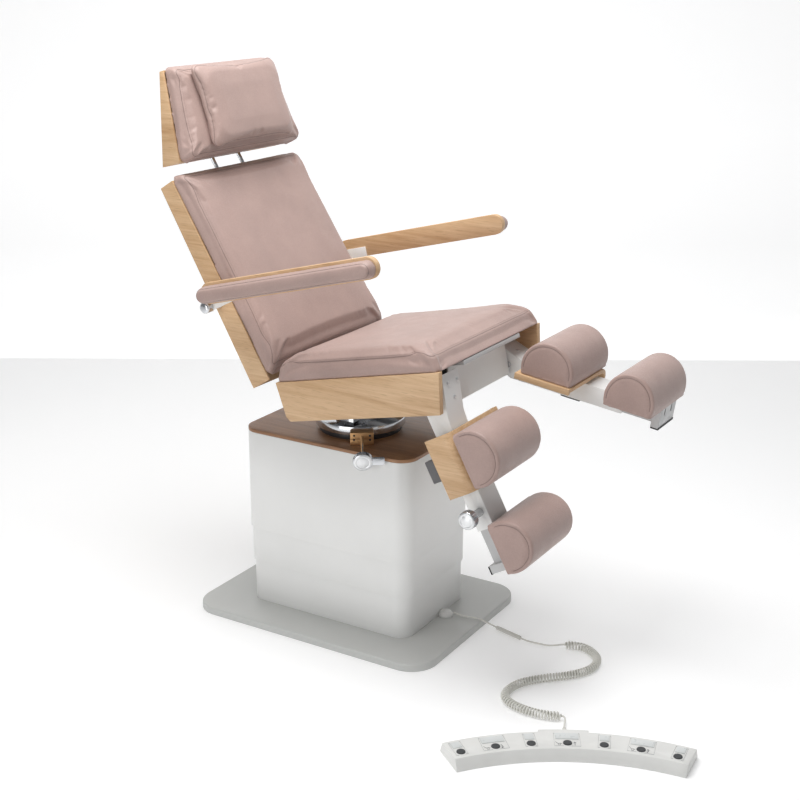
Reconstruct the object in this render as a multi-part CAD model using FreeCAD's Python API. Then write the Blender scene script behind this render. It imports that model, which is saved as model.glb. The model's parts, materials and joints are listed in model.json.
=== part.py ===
import FreeCAD, Part
import math
import os
from FreeCAD import Vector

# Podiatry chair. Millimetres, +Z up, origin on the floor under the base plate's centre.
# The chair faces -Y and +X is the sitter's left. Driving dimensions come first.

# Clearances
OVERRUN = 2.0              # how far a cutting tool stands past the wall it cuts
RUN_FIT = 0.05             # radial clearance of a pin or rod in its bore
SIDE_GAP = 0.3             # side clearance between faces that slide or turn

# Base plate
BASE_WIDTH = 594.0
BASE_DEPTH = 793.0
BASE_THICK = 22.0
BASE_CORNER_R = 80.0
BASE_EDGE = 4.0

# Telescoping covers, from the lowest stage up
COLUMN_Y = -3.0
COVER_WIDTH = 350.0
COVER_DEPTH = 541.0
COVER_CORNER_R = 43.0
COVER_WALL = 3.0
COVER_STEP = 5.0
LOWER_COVER_TOP = 320.0
MIDDLE_COVER_Z = (148.0, 439.0)
UPPER_COVER_Z = (255.0, 552.0)
TOP_PANEL_THICK = 10.0

# Lifting column of three nested tubes
TUBE_X = 170.0
TUBE_Y = 150.0
TUBE_WALL = 8.0
OUTER_TUBE_TOP = 300.0
MIDDLE_TUBE_Z = (150.0, 436.0)
INNER_TUBE_BOTTOM = 262.0
FLANGE_THICK = 3.0
HEAD_PLATE_THICK = 6.0
NUT_HEIGHT = 22.0
SPINDLE_R = 12.5
SPINDLE_TOP = 310.0
GEAR_BLOCK = 60.0
GEAR_HEIGHT = 26.0
DRIVE_SHAFT_R = 8.0
MOTOR_R = 32.0
MOTOR_LENGTH = 110.0
MOTOR_Z = 60.0

# Swivel between column and seat
SWIVEL_Y = -14.0
CLAMP_R = 119.0
CLAMP_BORE = 70.0
CLAMP_HEIGHT = 16.0
RING_R = 129.0
RING_HEIGHT = 24.0
SPIGOT_DEPTH = 12.0
PEDESTAL = (170.0, 60.0)
PEDESTAL_HEIGHT = 34.0
LOCK_AZIMUTH = 214.0       # direction of the lock rod about the swivel axis, degrees from +X
LOCK_DROP = 14.0           # slope of the lock rod below horizontal, degrees
LOCK_BLOCK_R = (110.0, 131.0, 162.0)
LOCK_BLOCK_HALF = 32.0
LOCK_BLOCK_TOP = 598.0
LOCK_POINT = (150.0, 588.0)
LOCK_ROD_R = 5.0
LOCK_ROD_START = 134.0
LOCK_KNOB_DISTANCE = 267.0
LOCK_KNOB_R = 27.0
LOCK_KNOB_THICK = 16.0
LOCK_KNOB_EDGE = 3.0
LOCK_LEVER = (34.0, 20.0, 10.0)

# Seat tilt: pivot axis along X
PIVOT_Z = 680.0
SEAT_TILT = 12.2           # degrees, front edge up
TILT_PIN_R = 9.0
TILT_PIN_HALF = 140.0
EAR_X = (75.0, 85.0)
EAR_R = 20.0
HORN_RADIUS = 50.0
HORN_HALF = 5.0
HORN_R = 11.0
HORN_PIN_R = 6.0
HORN_PIN_HALF = 16.0
EYE_PLAY = 1.6

# Seat frame, in the seat's own level frame about the pivot
SEAT_HALF = 290.0
PANEL_THICK = 18.0
PANEL_FRONT_TOP = -450.0
PANEL_FRONT_LOW = -432.0
PANEL_LOW = -18.5
PANEL_REAR_LOW = 45.0
PANEL_REAR_KNEE = (56.0, -4.5)
PANEL_REAR_TOP = 69.0
PAN_Z = (80.0, 92.0)
PAN_REAR = 60.0
PAN_NOTCH_Y = -300.0
PAN_NOTCH_X = 160.0
LONG_TUBE_X = (105.0, 135.0)
LONG_TUBE_Z = (-20.0, 30.0)
CROSS_TUBE_Z = (-20.0, 20.0)
TUBE_SKIN = 3.0
FRONT_TUBE_Y = (-330.0, -290.0)
REAR_TUBE_Y = (28.0, 58.0)
FRONT_PANEL_Y = (-398.0, -394.0)
FRONT_PANEL_LOW = -22.0
FRONT_PANEL_HALF = 160.0
SEAT_CUSHION_Y = (-455.0, 72.0)
SEAT_CUSHION_HEIGHT = 67.0
SEAT_CROWN_INSETS = (110.0, 160.0, 130.0)   # how far the flat of the top stays from sides, front and rear
SEAT_RISE_SHARES = (0.0, 0.15, 0.67, 0.85, 0.94, 1.0)
SEAT_SIDE_SHARES = (0.02, 0.0, 0.0, 0.03, 0.27, 1.0)
SEAT_FRONT_SHARES = (0.01, 0.0, 0.07, 0.22, 0.5, 1.0)
SEAT_REAR_SHARES = (0.015, 0.0, 0.08, 0.2, 0.46, 1.0)
CUSHION_CORNER_R = 22.0
CUSHION_DRAW = 2.5

# Leg hinge and back hinge, in the seat frame
LEG_AXIS = (-396.0, 3.0)
LEG_PIN_R = 8.0
LEG_BOSS_R = 20.0
BACK_AXIS = (92.0, 86.0)
BACK_PIN_R = 8.0
BACK_LUG_X = (105.0, 115.0)
BACK_LUG_R = 16.0

# Electric drives under the seat
DRIVE_R = 25.0
DRIVE_Y = (-288.0, -110.0)
ROD_R = 10.0
BACK_DRIVE_X = 60.0
BACK_DRIVE_Z = 54.0
FORK_WALL = 9.0
FORK_PLATE = 6.5
FORK_GAP = 0.5
FORK_REACH = 11.0
FORK_BASE = 9.0
DRIVE_MOTOR_R = 17.0
DRIVE_MOTOR_Y = (-270.0, -165.0)
DRIVE_MOTOR_DROP = 40.0
DRIVE_MOUNT = (15.0, 30.0)
ROD_INSIDE = 60.0
DRIVE_BORE = 140.0
HORN_NOTCH_X = (38.0, 82.0)
HORN_NOTCH_Y = 26.0
SLOT_PLAY = 6.0
FORK_LOW = 30.0
FORK_TOP = 74.5

# Leg rests, measured along the leg from its hinge and square to the rail's front face
LEG_ANGLES = {"right": 61.5, "left": 8.0}
RAIL_X = (166.0, 250.0)
RAIL_DEPTH = 52.0
RAIL_WALL = 4.0
RAIL_START = 60.0
RAIL_END = 350.0
RAIL_FACE_HEIGHT = 15.0
LINK_TIP = (-60.0, 40.0)
LINK_KNEE = (45.0, 6.0)
LINK_END = 100.0
LINK_HEEL = (-22.0, -35.0)
LINK_BACK = (-35.0, 0.0)
LINK_TIP_LOW = 25.0
CARRIER_X = (36.0, 290.0)
CARRIER_A = (80.0, 243.0)
CARRIER_THICK = 12.0
CARRIER_TOP = 20.0
CARRIER_BEND = 32.0
CARRIER_APRON = -65.0
CARRIER_LIP = 5.0
CARRIER_SEAT_A = (110.0, 215.0)
ROLL_X = (42.0, 294.0)
UPPER_ROLL_A = (86.0, 244.0)
LOWER_ROLL_A = (332.0, 478.0)
LOWER_ROLL_BASE = 6.0
ROLL_HEIGHT = 106.0
ROLL_DOME = 7.0
ROLL_HEIGHT_SHARES = (0.0, 0.33, 0.66, 1.0)
ROLL_HALF_SHARES = (0.95, 1.0, 0.84)
ROLL_END_SHARES = (0.0, 0.35, 1.0)
INNER_RAIL_A = (150.0, 452.0)
INNER_BRIDGE_A = (356.0, 460.0)
END_BOX_A = (442.0, 464.0)
END_BOX_X = (152.0, 264.0)
END_BOX_HEIGHTS = (-56.0, 2.0)
END_SLOT_GAP = 46.0
END_SLOT_HEIGHT = -15.0
END_PLATE = 4.0
END_SLOT = (8.0, 20.0)
LEG_KNOB_A = 302.0
LEG_KNOB_HEIGHT = -21.5
LEG_KNOB_R = 24.0
LEG_KNOB_X = (300.0, 324.0)
LEG_STUD_R = 6.0
LEG_KNOB_HUB_R = 11.0

# Backrest, upright in its own frame about the back hinge
BACK_RECLINE = 31.5
SHELL_LOW = 13.5
SHELL_TOP = 617.0
SHELL_REAR = (59.1, 50.8)
SHELL_FRONT = (-7.8, -1.5)
SHELL_HALF = (290.0, 277.0)
SHELL_WALL = 6.0
SHELL_CORNER_R = 8.0
BACK_CUSHION_Z = (22.0, 631.0)
BACK_CUSHION_DEPTH = (45.5, 45.0)
BACK_CROWN_INSETS = (115.0, 160.0, 150.0)   # how far the flat of the face stays from sides, foot and top
BACK_DEPTH_SHARES = (0.0, 0.25, 0.7, 0.96, 1.06, 1.13)
BACK_SIDE_SHARES = (0.02, 0.0, 0.0, 0.035, 0.31, 1.0)
BACK_LOW_SHARES = (0.0, 0.01, 0.09, 0.19, 0.41, 1.0)
BACK_TOP_SHARES = (0.01, 0.0, 0.03, 0.12, 0.33, 1.0)
BACK_BRACKET_X = (93.0, 104.7)
BACK_TUBE_R = 11.0
BACK_BRACKET_R = 18.0
SPINE_Y = (17.0, 23.0)
SPINE_HALF = 130.0
SPINE_Z = (40.0, 590.0)
BACK_HORN_X = (55.0, 65.0)
BACK_HORN_LENGTH = 45.0
BACK_HORN_PIN_R = 6.0
BACK_HORN_PIN_X = (47.0, 73.0)

# Headrest
HEAD_ROD_X = 60.0
HEAD_ROD_Y = 8.0
HEAD_ROD_R = 6.0
HEAD_ROD_LOW = 410.0
HEAD_HINGE_Z = 668.0
GUIDE_HALF = 9.0
GUIDE_Z = (385.0, 600.0)
HEAD_RECLINE = 16.0
HEAD_TUBE_HALF = 104.0
HEAD_SHELL_LOW = -5.0
HEAD_SHELL_TOP = 245.0
HEAD_SHELL_REAR = (14.0, -35.0)
HEAD_SHELL_FRONT = -51.0
HEAD_SHELL_CORNER_R = 5.0
HEAD_HOLLOW_CORNER_R = 2.0
HEAD_SHELL_HALF = (260.0, 230.0)
HEAD_POCKET_HALF = 90.0
HEAD_POCKET_Y = (-34.0, 6.6)
HEAD_POCKET_TOP = 7.0
HEAD_CUSHION_Z = (-12.0, 255.0)
HEAD_CUSHION_HALF = (262.0, 227.0)
HEAD_CUSHION_DEPTH = (54.0, 40.0)
HEAD_CROWN_INSET = 80.0
HEAD_DEPTH_SHARES = (0.0, 0.25, 0.7, 0.95, 1.0, 1.04)
HEAD_SIDE_SHARES = (0.02, 0.0, 0.0, 0.04, 0.3, 1.0)
HEAD_LOW_SHARES = (0.02, 0.0, 0.04, 0.12, 0.32, 1.0)
PILLOW_HALF = 189.0
PILLOW_Z = (6.0, 248.0)
PILLOW_DEPTH = 38.0
PILLOW_CROWN_INSET = 70.0
PILLOW_DEPTH_SHARES = (0.0, 0.2, 0.45, 0.75, 0.95, 1.05)
PILLOW_INSET_SHARES = (0.17, 0.03, 0.0, 0.14, 0.43, 1.0)

# Armrests, in the arm's own frame about its hub
ARM_HUB = (35.0, 263.0)
ARM_SLOPE = 14.3
ARM_AXLE_R = 5.0
ARM_SOCKET_R = 7.5
ARM_SOCKET_HALF = 262.0
ARM_AXLE_START = 240.0
ARM_BOSS_R = 12.0
ARM_PLATE_X = (322.0, 328.0)
ARM_CAP_R = 16.0
ARM_CAP_THICK = 20.0
ARM_BRACKET_REACH = 96.0
ARM_NECK_SHARE = 0.7
ARM_BOARD_X = (328.0, 346.0)
ARM_BOARD_Y = (-575.0, 2.0)
ARM_BOARD_Z = (8.0, 66.0)
ARM_PAD_THICK = 38.0
ARM_PAD_Z = (10.0, 60.0)
ARM_CROWN_INSET = 15.0
ARM_DEPTH_SHARES = (0.0, 0.2, 0.5, 0.8, 0.95, 1.0)
ARM_INSET_SHARES = (0.07, 0.0, 0.0, 0.2, 0.53, 1.0)

# Foot control, an arc on the floor about a centre in front of the chair
CONTROL_CENTRE = (-1049.0, -1234.0)
CONTROL_DEPTH = 101.0
CONTROL_SLOPES = (11.0, 13.0)
CONTROL_SPAN = (4.9, 53.0)
CONTROL_OUTER = 770.0
CONTROL_INNER = CONTROL_OUTER - CONTROL_DEPTH
CONTROL_TOP_INNER = CONTROL_INNER + CONTROL_SLOPES[0]
CONTROL_TOP_OUTER = CONTROL_OUTER - CONTROL_SLOPES[1]
CONTROL_HEIGHT = 31.0
CONTROL_REAR_LOW = 6.0
CONTROL_LUG_SPAN = (24.9, 34.3)
CONTROL_LUG_PROUD = 2.0
CONTROL_LUG_OUTER = CONTROL_OUTER + CONTROL_LUG_PROUD
CONTROL_LUG_HEIGHT = 28.0
BUTTON_COUNT = 7
BUTTON_MIDDLE = 29.2
BUTTON_PITCH = 7.25
BUTTON_SETBACK = 33.0
BUTTON_RADIUS = CONTROL_INNER + BUTTON_SETBACK
BUTTON_R = 11.0
BUTTON_RISE = 4.0
BUTTON_DEPTH = 14.0
BUTTON_COLLAR = 1.6
BUTTON_COLLAR_R = 14.5
PANEL_RISE = 1.5
PANEL_NARROW = 24.0
PANEL_WIDE = 58.0
PANEL_SETBACKS = (53.0, 79.0)
PANEL_RADII = (CONTROL_INNER + PANEL_SETBACKS[0], CONTROL_INNER + PANEL_SETBACKS[1])

# Cord from the base plate to the foot control
CORD_D = 5.0
OUTLET_X = 24.0
OUTLET_PROUD = 16.5
OUTLET_R = 22.0
OUTLET_HEIGHT = 18.0
OUTLET_BASE = 5.0
SLEEVE_R = 6.0
CURL_D = 24.0
CURL_WIRE = 5.0
CURL_COUNT = 80
CURL_Z = 12.5
CURL_SAMPLES = 24
LEAD_SHARE = 0.45
RELIEF_R = (4.5, 8.0)
RELIEF_LENGTH = 28.0
SLEEVE_ENDS = ((60.0, -439.0, 6.3), (37.0, -528.0, 6.3))
LEAD_FIRST = ((36.0, -311.0, 30.0), (36.0, -330.0, 28.2), (37.0, -350.0, 27.6), (40.0, -371.0, 28.6),
              (46.0, -391.0, 27.2), (54.0, -408.0, 17.5), (61.0, -423.0, 9.0), (60.0, -439.0, 6.3))
LEAD_SECOND = ((37.0, -528.0, 6.3), (35.0, -546.0, 4.0), (38.0, -568.0, 3.2), (41.0, -590.0, 3.0),
               (40.0, -611.0, 4.2), (44.0, -631.0, 8.5), (54.0, -650.0, 12.5))
CURL_ROUTE = ((54.0, -650.0), (77.0, -700.0), (51.0, -751.0), (18.0, -775.0), (-37.0, -779.0),
              (-97.0, -742.0), (-158.0, -675.0), (-213.0, -638.0), (-281.0, -634.0), (-313.0, -673.0),
              (-322.0, -734.0), (-312.0, -786.0), (-296.0, -818.0))
LEAD_THIRD = ((-296.0, -818.0, 12.5), (-309.0, -828.0, 12.6), (-329.0, -834.0, 13.3),
              (-350.7, -843.7, 14.0))

X_AXIS = Vector(1, 0, 0)
Y_AXIS = Vector(0, 1, 0)
Z_AXIS = Vector(0, 0, 1)
ORIGIN = Vector(0, 0, 0)


def box(x, y, z):
    """Box between the limits given as pairs."""
    low = Vector(min(x), min(y), min(z))
    return Part.makeBox(abs(x[1] - x[0]), abs(y[1] - y[0]), abs(z[1] - z[0]), low)


def both(pair):
    """The same pair of limits on the other side of the middle."""
    return (-pair[1], -pair[0])


def rod_x(radius, x, y, z):
    """Round bar along X between two X limits."""
    return Part.makeCylinder(radius, x[1] - x[0], Vector(x[0], y, z), X_AXIS)


def rod_y(radius, x, y, z):
    """Round bar along Y between two Y limits."""
    return Part.makeCylinder(radius, y[1] - y[0], Vector(x, y[0], z), Y_AXIS)


def rod_z(radius, x, y, z):
    """Round bar along Z between two Z limits."""
    return Part.makeCylinder(radius, z[1] - z[0], Vector(x, y, z[0]), Z_AXIS)


def slab(points, x):
    """Plate whose outline lies in the Y-Z plane, between two X limits."""
    corners = [Vector(x[0], y, z) for y, z in points]
    face = Part.Face(Part.makePolygon(corners + corners[:1]))
    return face.extrude(Vector(x[1] - x[0], 0, 0))


def fuse(shapes):
    """One clean body from touching shapes."""
    body = shapes[0].multiFuse(shapes[1:]) if len(shapes) > 1 else shapes[0]
    return body.removeSplitter()


def cut(shape, *tools):
    """Shape without its tools."""
    for tool in tools:
        shape = shape.cut(tool)
    return shape


def edges_along(shape, direction):
    """Straight edges that run along a direction."""
    found = []
    for edge in shape.Edges:
        if isinstance(edge.Curve, Part.Line) and edge.Curve.Direction.cross(direction).Length < 1e-6:
            found.append(edge)
    return found


def mirror_x(shape):
    """The same shape on the other side of the middle plane."""
    return shape.mirror(ORIGIN, X_AXIS)


def tilted(shape, degrees, centre):
    """Shape built about the origin, turned about X and carried to its centre."""
    placed = shape.copy()
    placed.rotate(ORIGIN, X_AXIS, degrees)
    placed.translate(centre)
    return placed


def rounded_wire(points, radii, draws, place):
    """Closed outline with a rounded corner at each point and each side drawn in by its draw."""
    count = len(points)
    starts = []
    ends = []
    middles = []
    for i in range(count):
        here = points[i]
        before = points[i - 1]
        after = points[(i + 1) % count]
        back = ((before[0] - here[0]), (before[1] - here[1]))
        ahead = ((after[0] - here[0]), (after[1] - here[1]))
        back_length = math.hypot(*back)
        ahead_length = math.hypot(*ahead)
        back = (back[0] / back_length, back[1] / back_length)
        ahead = (ahead[0] / ahead_length, ahead[1] / ahead_length)
        half = math.acos(back[0] * ahead[0] + back[1] * ahead[1]) / 2
        reach = radii[i] / math.tan(half)
        bisector = (back[0] + ahead[0], back[1] + ahead[1])
        size = math.hypot(*bisector)
        depth = radii[i] / math.sin(half) - radii[i]
        starts.append((here[0] + back[0] * reach, here[1] + back[1] * reach))
        ends.append((here[0] + ahead[0] * reach, here[1] + ahead[1] * reach))
        middles.append((here[0] + bisector[0] / size * depth, here[1] + bisector[1] / size * depth))
    edges = []
    for i in range(count):
        if radii[i] > 0:
            edges.append(Part.Arc(place(*starts[i]), place(*middles[i]), place(*ends[i])).toShape())
        start = ends[i]
        end = starts[(i + 1) % count]
        if draws[i] > 0:
            across = (end[0] - start[0], end[1] - start[1])
            size = math.hypot(*across)
            inward = (-across[1] / size * draws[i], across[0] / size * draws[i])
            middle = ((start[0] + end[0]) / 2 + inward[0], (start[1] + end[1]) / 2 + inward[1])
            edges.append(Part.Arc(place(*start), place(*middle), place(*end)).toShape())
        else:
            edges.append(Part.makeLine(place(*start), place(*end)))
    return Part.Wire(edges)


def rounded_plate(half_x, half_y, corner, z, centre_y=0.0):
    """Flat plate with rounded upright edges, between two heights."""
    points = [(-half_x, -half_y), (half_x, -half_y), (half_x, half_y), (-half_x, half_y)]
    wire = rounded_wire(points, [corner] * 4, [0.0] * 4, lambda u, v: Vector(u, centre_y + v, z[0]))
    return Part.Face(wire).extrude(Vector(0, 0, z[1] - z[0]))


def padded(levels, corner, draw, place):
    """Closed cushion through outlines given as half widths, low and high limits and a depth."""
    wires = []
    for low_half, high_half, low, high, depth in levels:
        points = [(-low_half, low), (low_half, low), (high_half, high), (-high_half, high)]
        pull = draw if depth is not levels[0][4] else 0.0
        wires.append(rounded_wire(points, [corner] * 4, [pull] * 4,
                                  lambda u, v, d=depth: place(u, v, d)))
    return Part.makeLoft(wires, True, True)


def base_plate():
    plate = rounded_plate(BASE_WIDTH / 2, BASE_DEPTH / 2, BASE_CORNER_R, (0.0, BASE_THICK))
    rim = [e for e in plate.Edges if min(v.Z for v in e.Vertexes) > BASE_THICK - BASE_EDGE]
    return plate.makeFillet(BASE_EDGE, rim)


def cover_shell(stage, z):
    """One telescoping shell; each higher stage is one step wider."""
    half_x = COVER_WIDTH / 2 + stage * COVER_STEP
    half_y = COVER_DEPTH / 2 + stage * COVER_STEP
    corner = COVER_CORNER_R + stage * COVER_STEP
    inner = (z[0] - OVERRUN, z[1] + OVERRUN)
    shell = rounded_plate(half_x, half_y, corner, z, COLUMN_Y)
    hollow = rounded_plate(half_x - COVER_WALL, half_y - COVER_WALL, corner - COVER_WALL, inner, COLUMN_Y)
    return shell.cut(hollow)


def column_tube(stage, z):
    """One stage of the lifting column; each stage slides in the one outside it."""
    inset = stage * (TUBE_WALL + SIDE_GAP)
    half_x = TUBE_X / 2 - inset
    half_y = TUBE_Y / 2 - inset
    inner = (z[0] - OVERRUN, z[1] + OVERRUN)
    tube = box((-half_x, half_x), (COLUMN_Y - half_y, COLUMN_Y + half_y), z)
    bore_x = half_x - TUBE_WALL
    bore_y = half_y - TUBE_WALL
    return tube.cut(box((-bore_x, bore_x), (COLUMN_Y - bore_y, COLUMN_Y + bore_y), inner))


def column_outer():
    tube = column_tube(0, (BASE_THICK, OUTER_TUBE_TOP))
    wall = (COLUMN_Y + TUBE_Y / 2 - TUBE_WALL - OVERRUN, COLUMN_Y + TUBE_Y / 2 + OVERRUN)
    gear_middle = BASE_THICK + GEAR_HEIGHT / 2
    return tube.cut(rod_y(DRIVE_SHAFT_R + RUN_FIT, 0.0, wall, gear_middle))


def column_middle():
    tube = column_tube(1, MIDDLE_TUBE_Z)
    flange_z = (MIDDLE_TUBE_Z[1], MIDDLE_TUBE_Z[1] + FLANGE_THICK)
    half_x = COVER_WIDTH / 2 + COVER_STEP - COVER_WALL
    half_y = COVER_DEPTH / 2 + COVER_STEP - COVER_WALL
    corner = COVER_CORNER_R + COVER_STEP - COVER_WALL
    flange = rounded_plate(half_x, half_y, corner, flange_z, COLUMN_Y)
    inset = 2 * (TUBE_WALL + SIDE_GAP) - SIDE_GAP
    hole_x = TUBE_X / 2 - inset
    hole_y = TUBE_Y / 2 - inset
    hole = box((-hole_x, hole_x), (COLUMN_Y - hole_y, COLUMN_Y + hole_y),
               (flange_z[0] - OVERRUN, flange_z[1] + OVERRUN))
    return fuse([tube, flange.cut(hole)])


def head_plate_z():
    return (UPPER_COVER_Z[1] - HEAD_PLATE_THICK, UPPER_COVER_Z[1])


def column_inner():
    top = head_plate_z()[0]
    tube = column_tube(2, (INNER_TUBE_BOTTOM, top))
    inset = 2 * (TUBE_WALL + SIDE_GAP) + TUBE_WALL
    half_x = TUBE_X / 2 - inset
    half_y = TUBE_Y / 2 - inset
    nut_z = (INNER_TUBE_BOTTOM, INNER_TUBE_BOTTOM + NUT_HEIGHT)
    nut = box((-half_x, half_x), (COLUMN_Y - half_y, COLUMN_Y + half_y), nut_z)
    bore = rod_z(SPINDLE_R + RUN_FIT, 0.0, COLUMN_Y, (nut_z[0] - OVERRUN, nut_z[1] + OVERRUN))
    return fuse([tube, nut.cut(bore)])


def lift_drive():
    """Gear block under the spindle, driven through the tube wall by the motor beside it."""
    gear_z = (BASE_THICK, BASE_THICK + GEAR_HEIGHT)
    half = GEAR_BLOCK / 2
    gear = box((-half, half), (COLUMN_Y - half, COLUMN_Y + half), gear_z)
    spindle = rod_z(SPINDLE_R, 0.0, COLUMN_Y, (gear_z[1], SPINDLE_TOP))
    middle = BASE_THICK + GEAR_HEIGHT / 2
    motor_start = COLUMN_Y + TUBE_Y / 2 + TUBE_WALL
    shaft = rod_y(DRIVE_SHAFT_R, 0.0, (COLUMN_Y + half, motor_start), middle)
    motor_y = (motor_start, motor_start + MOTOR_LENGTH)
    foot = box((-MOTOR_R, MOTOR_R), motor_y, (BASE_THICK, MOTOR_Z))
    motor = rod_y(MOTOR_R, 0.0, motor_y, MOTOR_Z)
    return fuse([gear, spindle, shaft, foot, motor])


def column_head_plate():
    half_x = COVER_WIDTH / 2 + 2 * COVER_STEP - COVER_WALL
    half_y = COVER_DEPTH / 2 + 2 * COVER_STEP - COVER_WALL
    corner = COVER_CORNER_R + 2 * COVER_STEP - COVER_WALL
    return rounded_plate(half_x, half_y, corner, head_plate_z(), COLUMN_Y)


def panel_top():
    return UPPER_COVER_Z[1] + TOP_PANEL_THICK


def column_top_panel():
    half_x = COVER_WIDTH / 2 + 2 * COVER_STEP
    half_y = COVER_DEPTH / 2 + 2 * COVER_STEP
    corner = COVER_CORNER_R + 2 * COVER_STEP
    return rounded_plate(half_x, half_y, corner, (UPPER_COVER_Z[1], panel_top()), COLUMN_Y)


def at_lock(shape):
    """Shape built along +X from the swivel axis, turned to the lock's direction."""
    placed = shape.copy()
    placed.rotate(ORIGIN, Z_AXIS, LOCK_AZIMUTH)
    placed.translate(Vector(0, SWIVEL_Y, 0))
    return placed


def lock_bar(radius, start, end):
    """Round bar on the sloping line of the lock rod, between two distances from the swivel axis."""
    slope = math.radians(LOCK_DROP)
    direction = Vector(math.cos(slope), 0, -math.sin(slope))
    rise = (LOCK_POINT[0] - start) * math.tan(slope)
    first = Vector(start, 0, LOCK_POINT[1] + rise)
    return Part.makeCylinder(radius, (end - start) / math.cos(slope), first, direction)


def swivel_clamp():
    top = panel_top() + CLAMP_HEIGHT
    ring = rod_z(CLAMP_R, 0.0, SWIVEL_Y, (panel_top(), top))
    bore = rod_z(CLAMP_BORE, 0.0, SWIVEL_Y, (panel_top() - OVERRUN, top + OVERRUN))
    inner, step, outer = LOCK_BLOCK_R
    side = (-LOCK_BLOCK_HALF, LOCK_BLOCK_HALF)
    foot = box((inner, outer), side, (panel_top(), top))
    head = box((step, outer), side, (top, LOCK_BLOCK_TOP))
    bracket = at_lock(fuse([foot, head]))
    hole = at_lock(lock_bar(LOCK_ROD_R + RUN_FIT, step - OVERRUN, outer + OVERRUN))
    return cut(fuse([ring.cut(bore), bracket]), hole)


def swivel_lock_knob():
    rod = lock_bar(LOCK_ROD_R, LOCK_ROD_START, LOCK_KNOB_DISTANCE)
    knob = lock_bar(LOCK_KNOB_R, LOCK_KNOB_DISTANCE, LOCK_KNOB_DISTANCE + LOCK_KNOB_THICK)
    knob = knob.makeFillet(LOCK_KNOB_EDGE, [e for e in knob.Edges if isinstance(e.Curve, Part.Circle)])
    length, height, thick = LOCK_LEVER
    start = LOCK_KNOB_DISTANCE + (LOCK_KNOB_THICK - thick) / 2
    slope = math.tan(math.radians(LOCK_DROP))
    middle = LOCK_POINT[1] - (start + thick / 2 - LOCK_POINT[0]) * slope
    inside = LOCK_KNOB_R - LOCK_KNOB_EDGE
    upright = (middle - height / 2, middle + height / 2)
    lever = box((start, start + thick), (inside, inside + length), upright)
    lever = lever.makeFillet(LOCK_KNOB_EDGE, edges_along(lever, X_AXIS))
    return at_lock(fuse([rod, knob, lever]))


def ring_bottom():
    return panel_top() + CLAMP_HEIGHT + SIDE_GAP


def swivel_turntable():
    """Ring on a spigot, two ears for the tilt pin and a horn for the tilt drive."""
    low = ring_bottom()
    top = low + RING_HEIGHT
    ring = rod_z(RING_R, 0.0, SWIVEL_Y, (low, top))
    spigot = rod_z(CLAMP_BORE - RUN_FIT, 0.0, SWIVEL_Y, (low - SPIGOT_DEPTH, low))
    half_x = PEDESTAL[0] / 2
    half_y = PEDESTAL[1] / 2
    deck = top + PEDESTAL_HEIGHT
    pedestal = box((-half_x, half_x), (SWIVEL_Y - half_y, SWIVEL_Y + half_y), (top, deck))
    parts = [ring, spigot, pedestal]
    for x in (EAR_X, both(EAR_X), (-HORN_HALF, HORN_HALF)):
        parts.append(box(x, (SWIVEL_Y - EAR_R, SWIVEL_Y + EAR_R), (deck, PIVOT_Z)))
        parts.append(rod_x(EAR_R, x, SWIVEL_Y, PIVOT_Z))
    horn = (-HORN_HALF, HORN_HALF)
    horn_z = PIVOT_Z + HORN_RADIUS
    parts.append(box(horn, (SWIVEL_Y - HORN_R, SWIVEL_Y + HORN_R), (PIVOT_Z, horn_z)))
    parts.append(rod_x(HORN_R, horn, SWIVEL_Y, horn_z))
    parts.append(rod_x(HORN_PIN_R, (-HORN_PIN_HALF, HORN_PIN_HALF), SWIVEL_Y, horn_z))
    bore = rod_x(TILT_PIN_R + RUN_FIT, (-half_x - OVERRUN, half_x + OVERRUN), SWIVEL_Y, PIVOT_Z)
    return cut(fuse(parts), bore)


def seat_point(y, z):
    """World place of a point given in the seat's level frame."""
    tilt = math.radians(-SEAT_TILT)
    along = y * math.cos(tilt) - z * math.sin(tilt)
    up = y * math.sin(tilt) + z * math.cos(tilt)
    return Vector(0, SWIVEL_Y + along, PIVOT_Z + up)


def seat(shape):
    return tilted(shape, -SEAT_TILT, Vector(0, SWIVEL_Y, PIVOT_Z))


def square_tube(x, y, z, skin, axis):
    """Rectangular tube between limits, open along one axis (0 for X, 1 for Y, 2 for Z)."""
    limits = [x, y, z]
    inner = []
    for i, pair in enumerate(limits):
        step = -OVERRUN if i == axis else skin
        inner.append((pair[0] + step, pair[1] - step))
    return box(x, y, z).cut(box(*inner))


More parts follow.
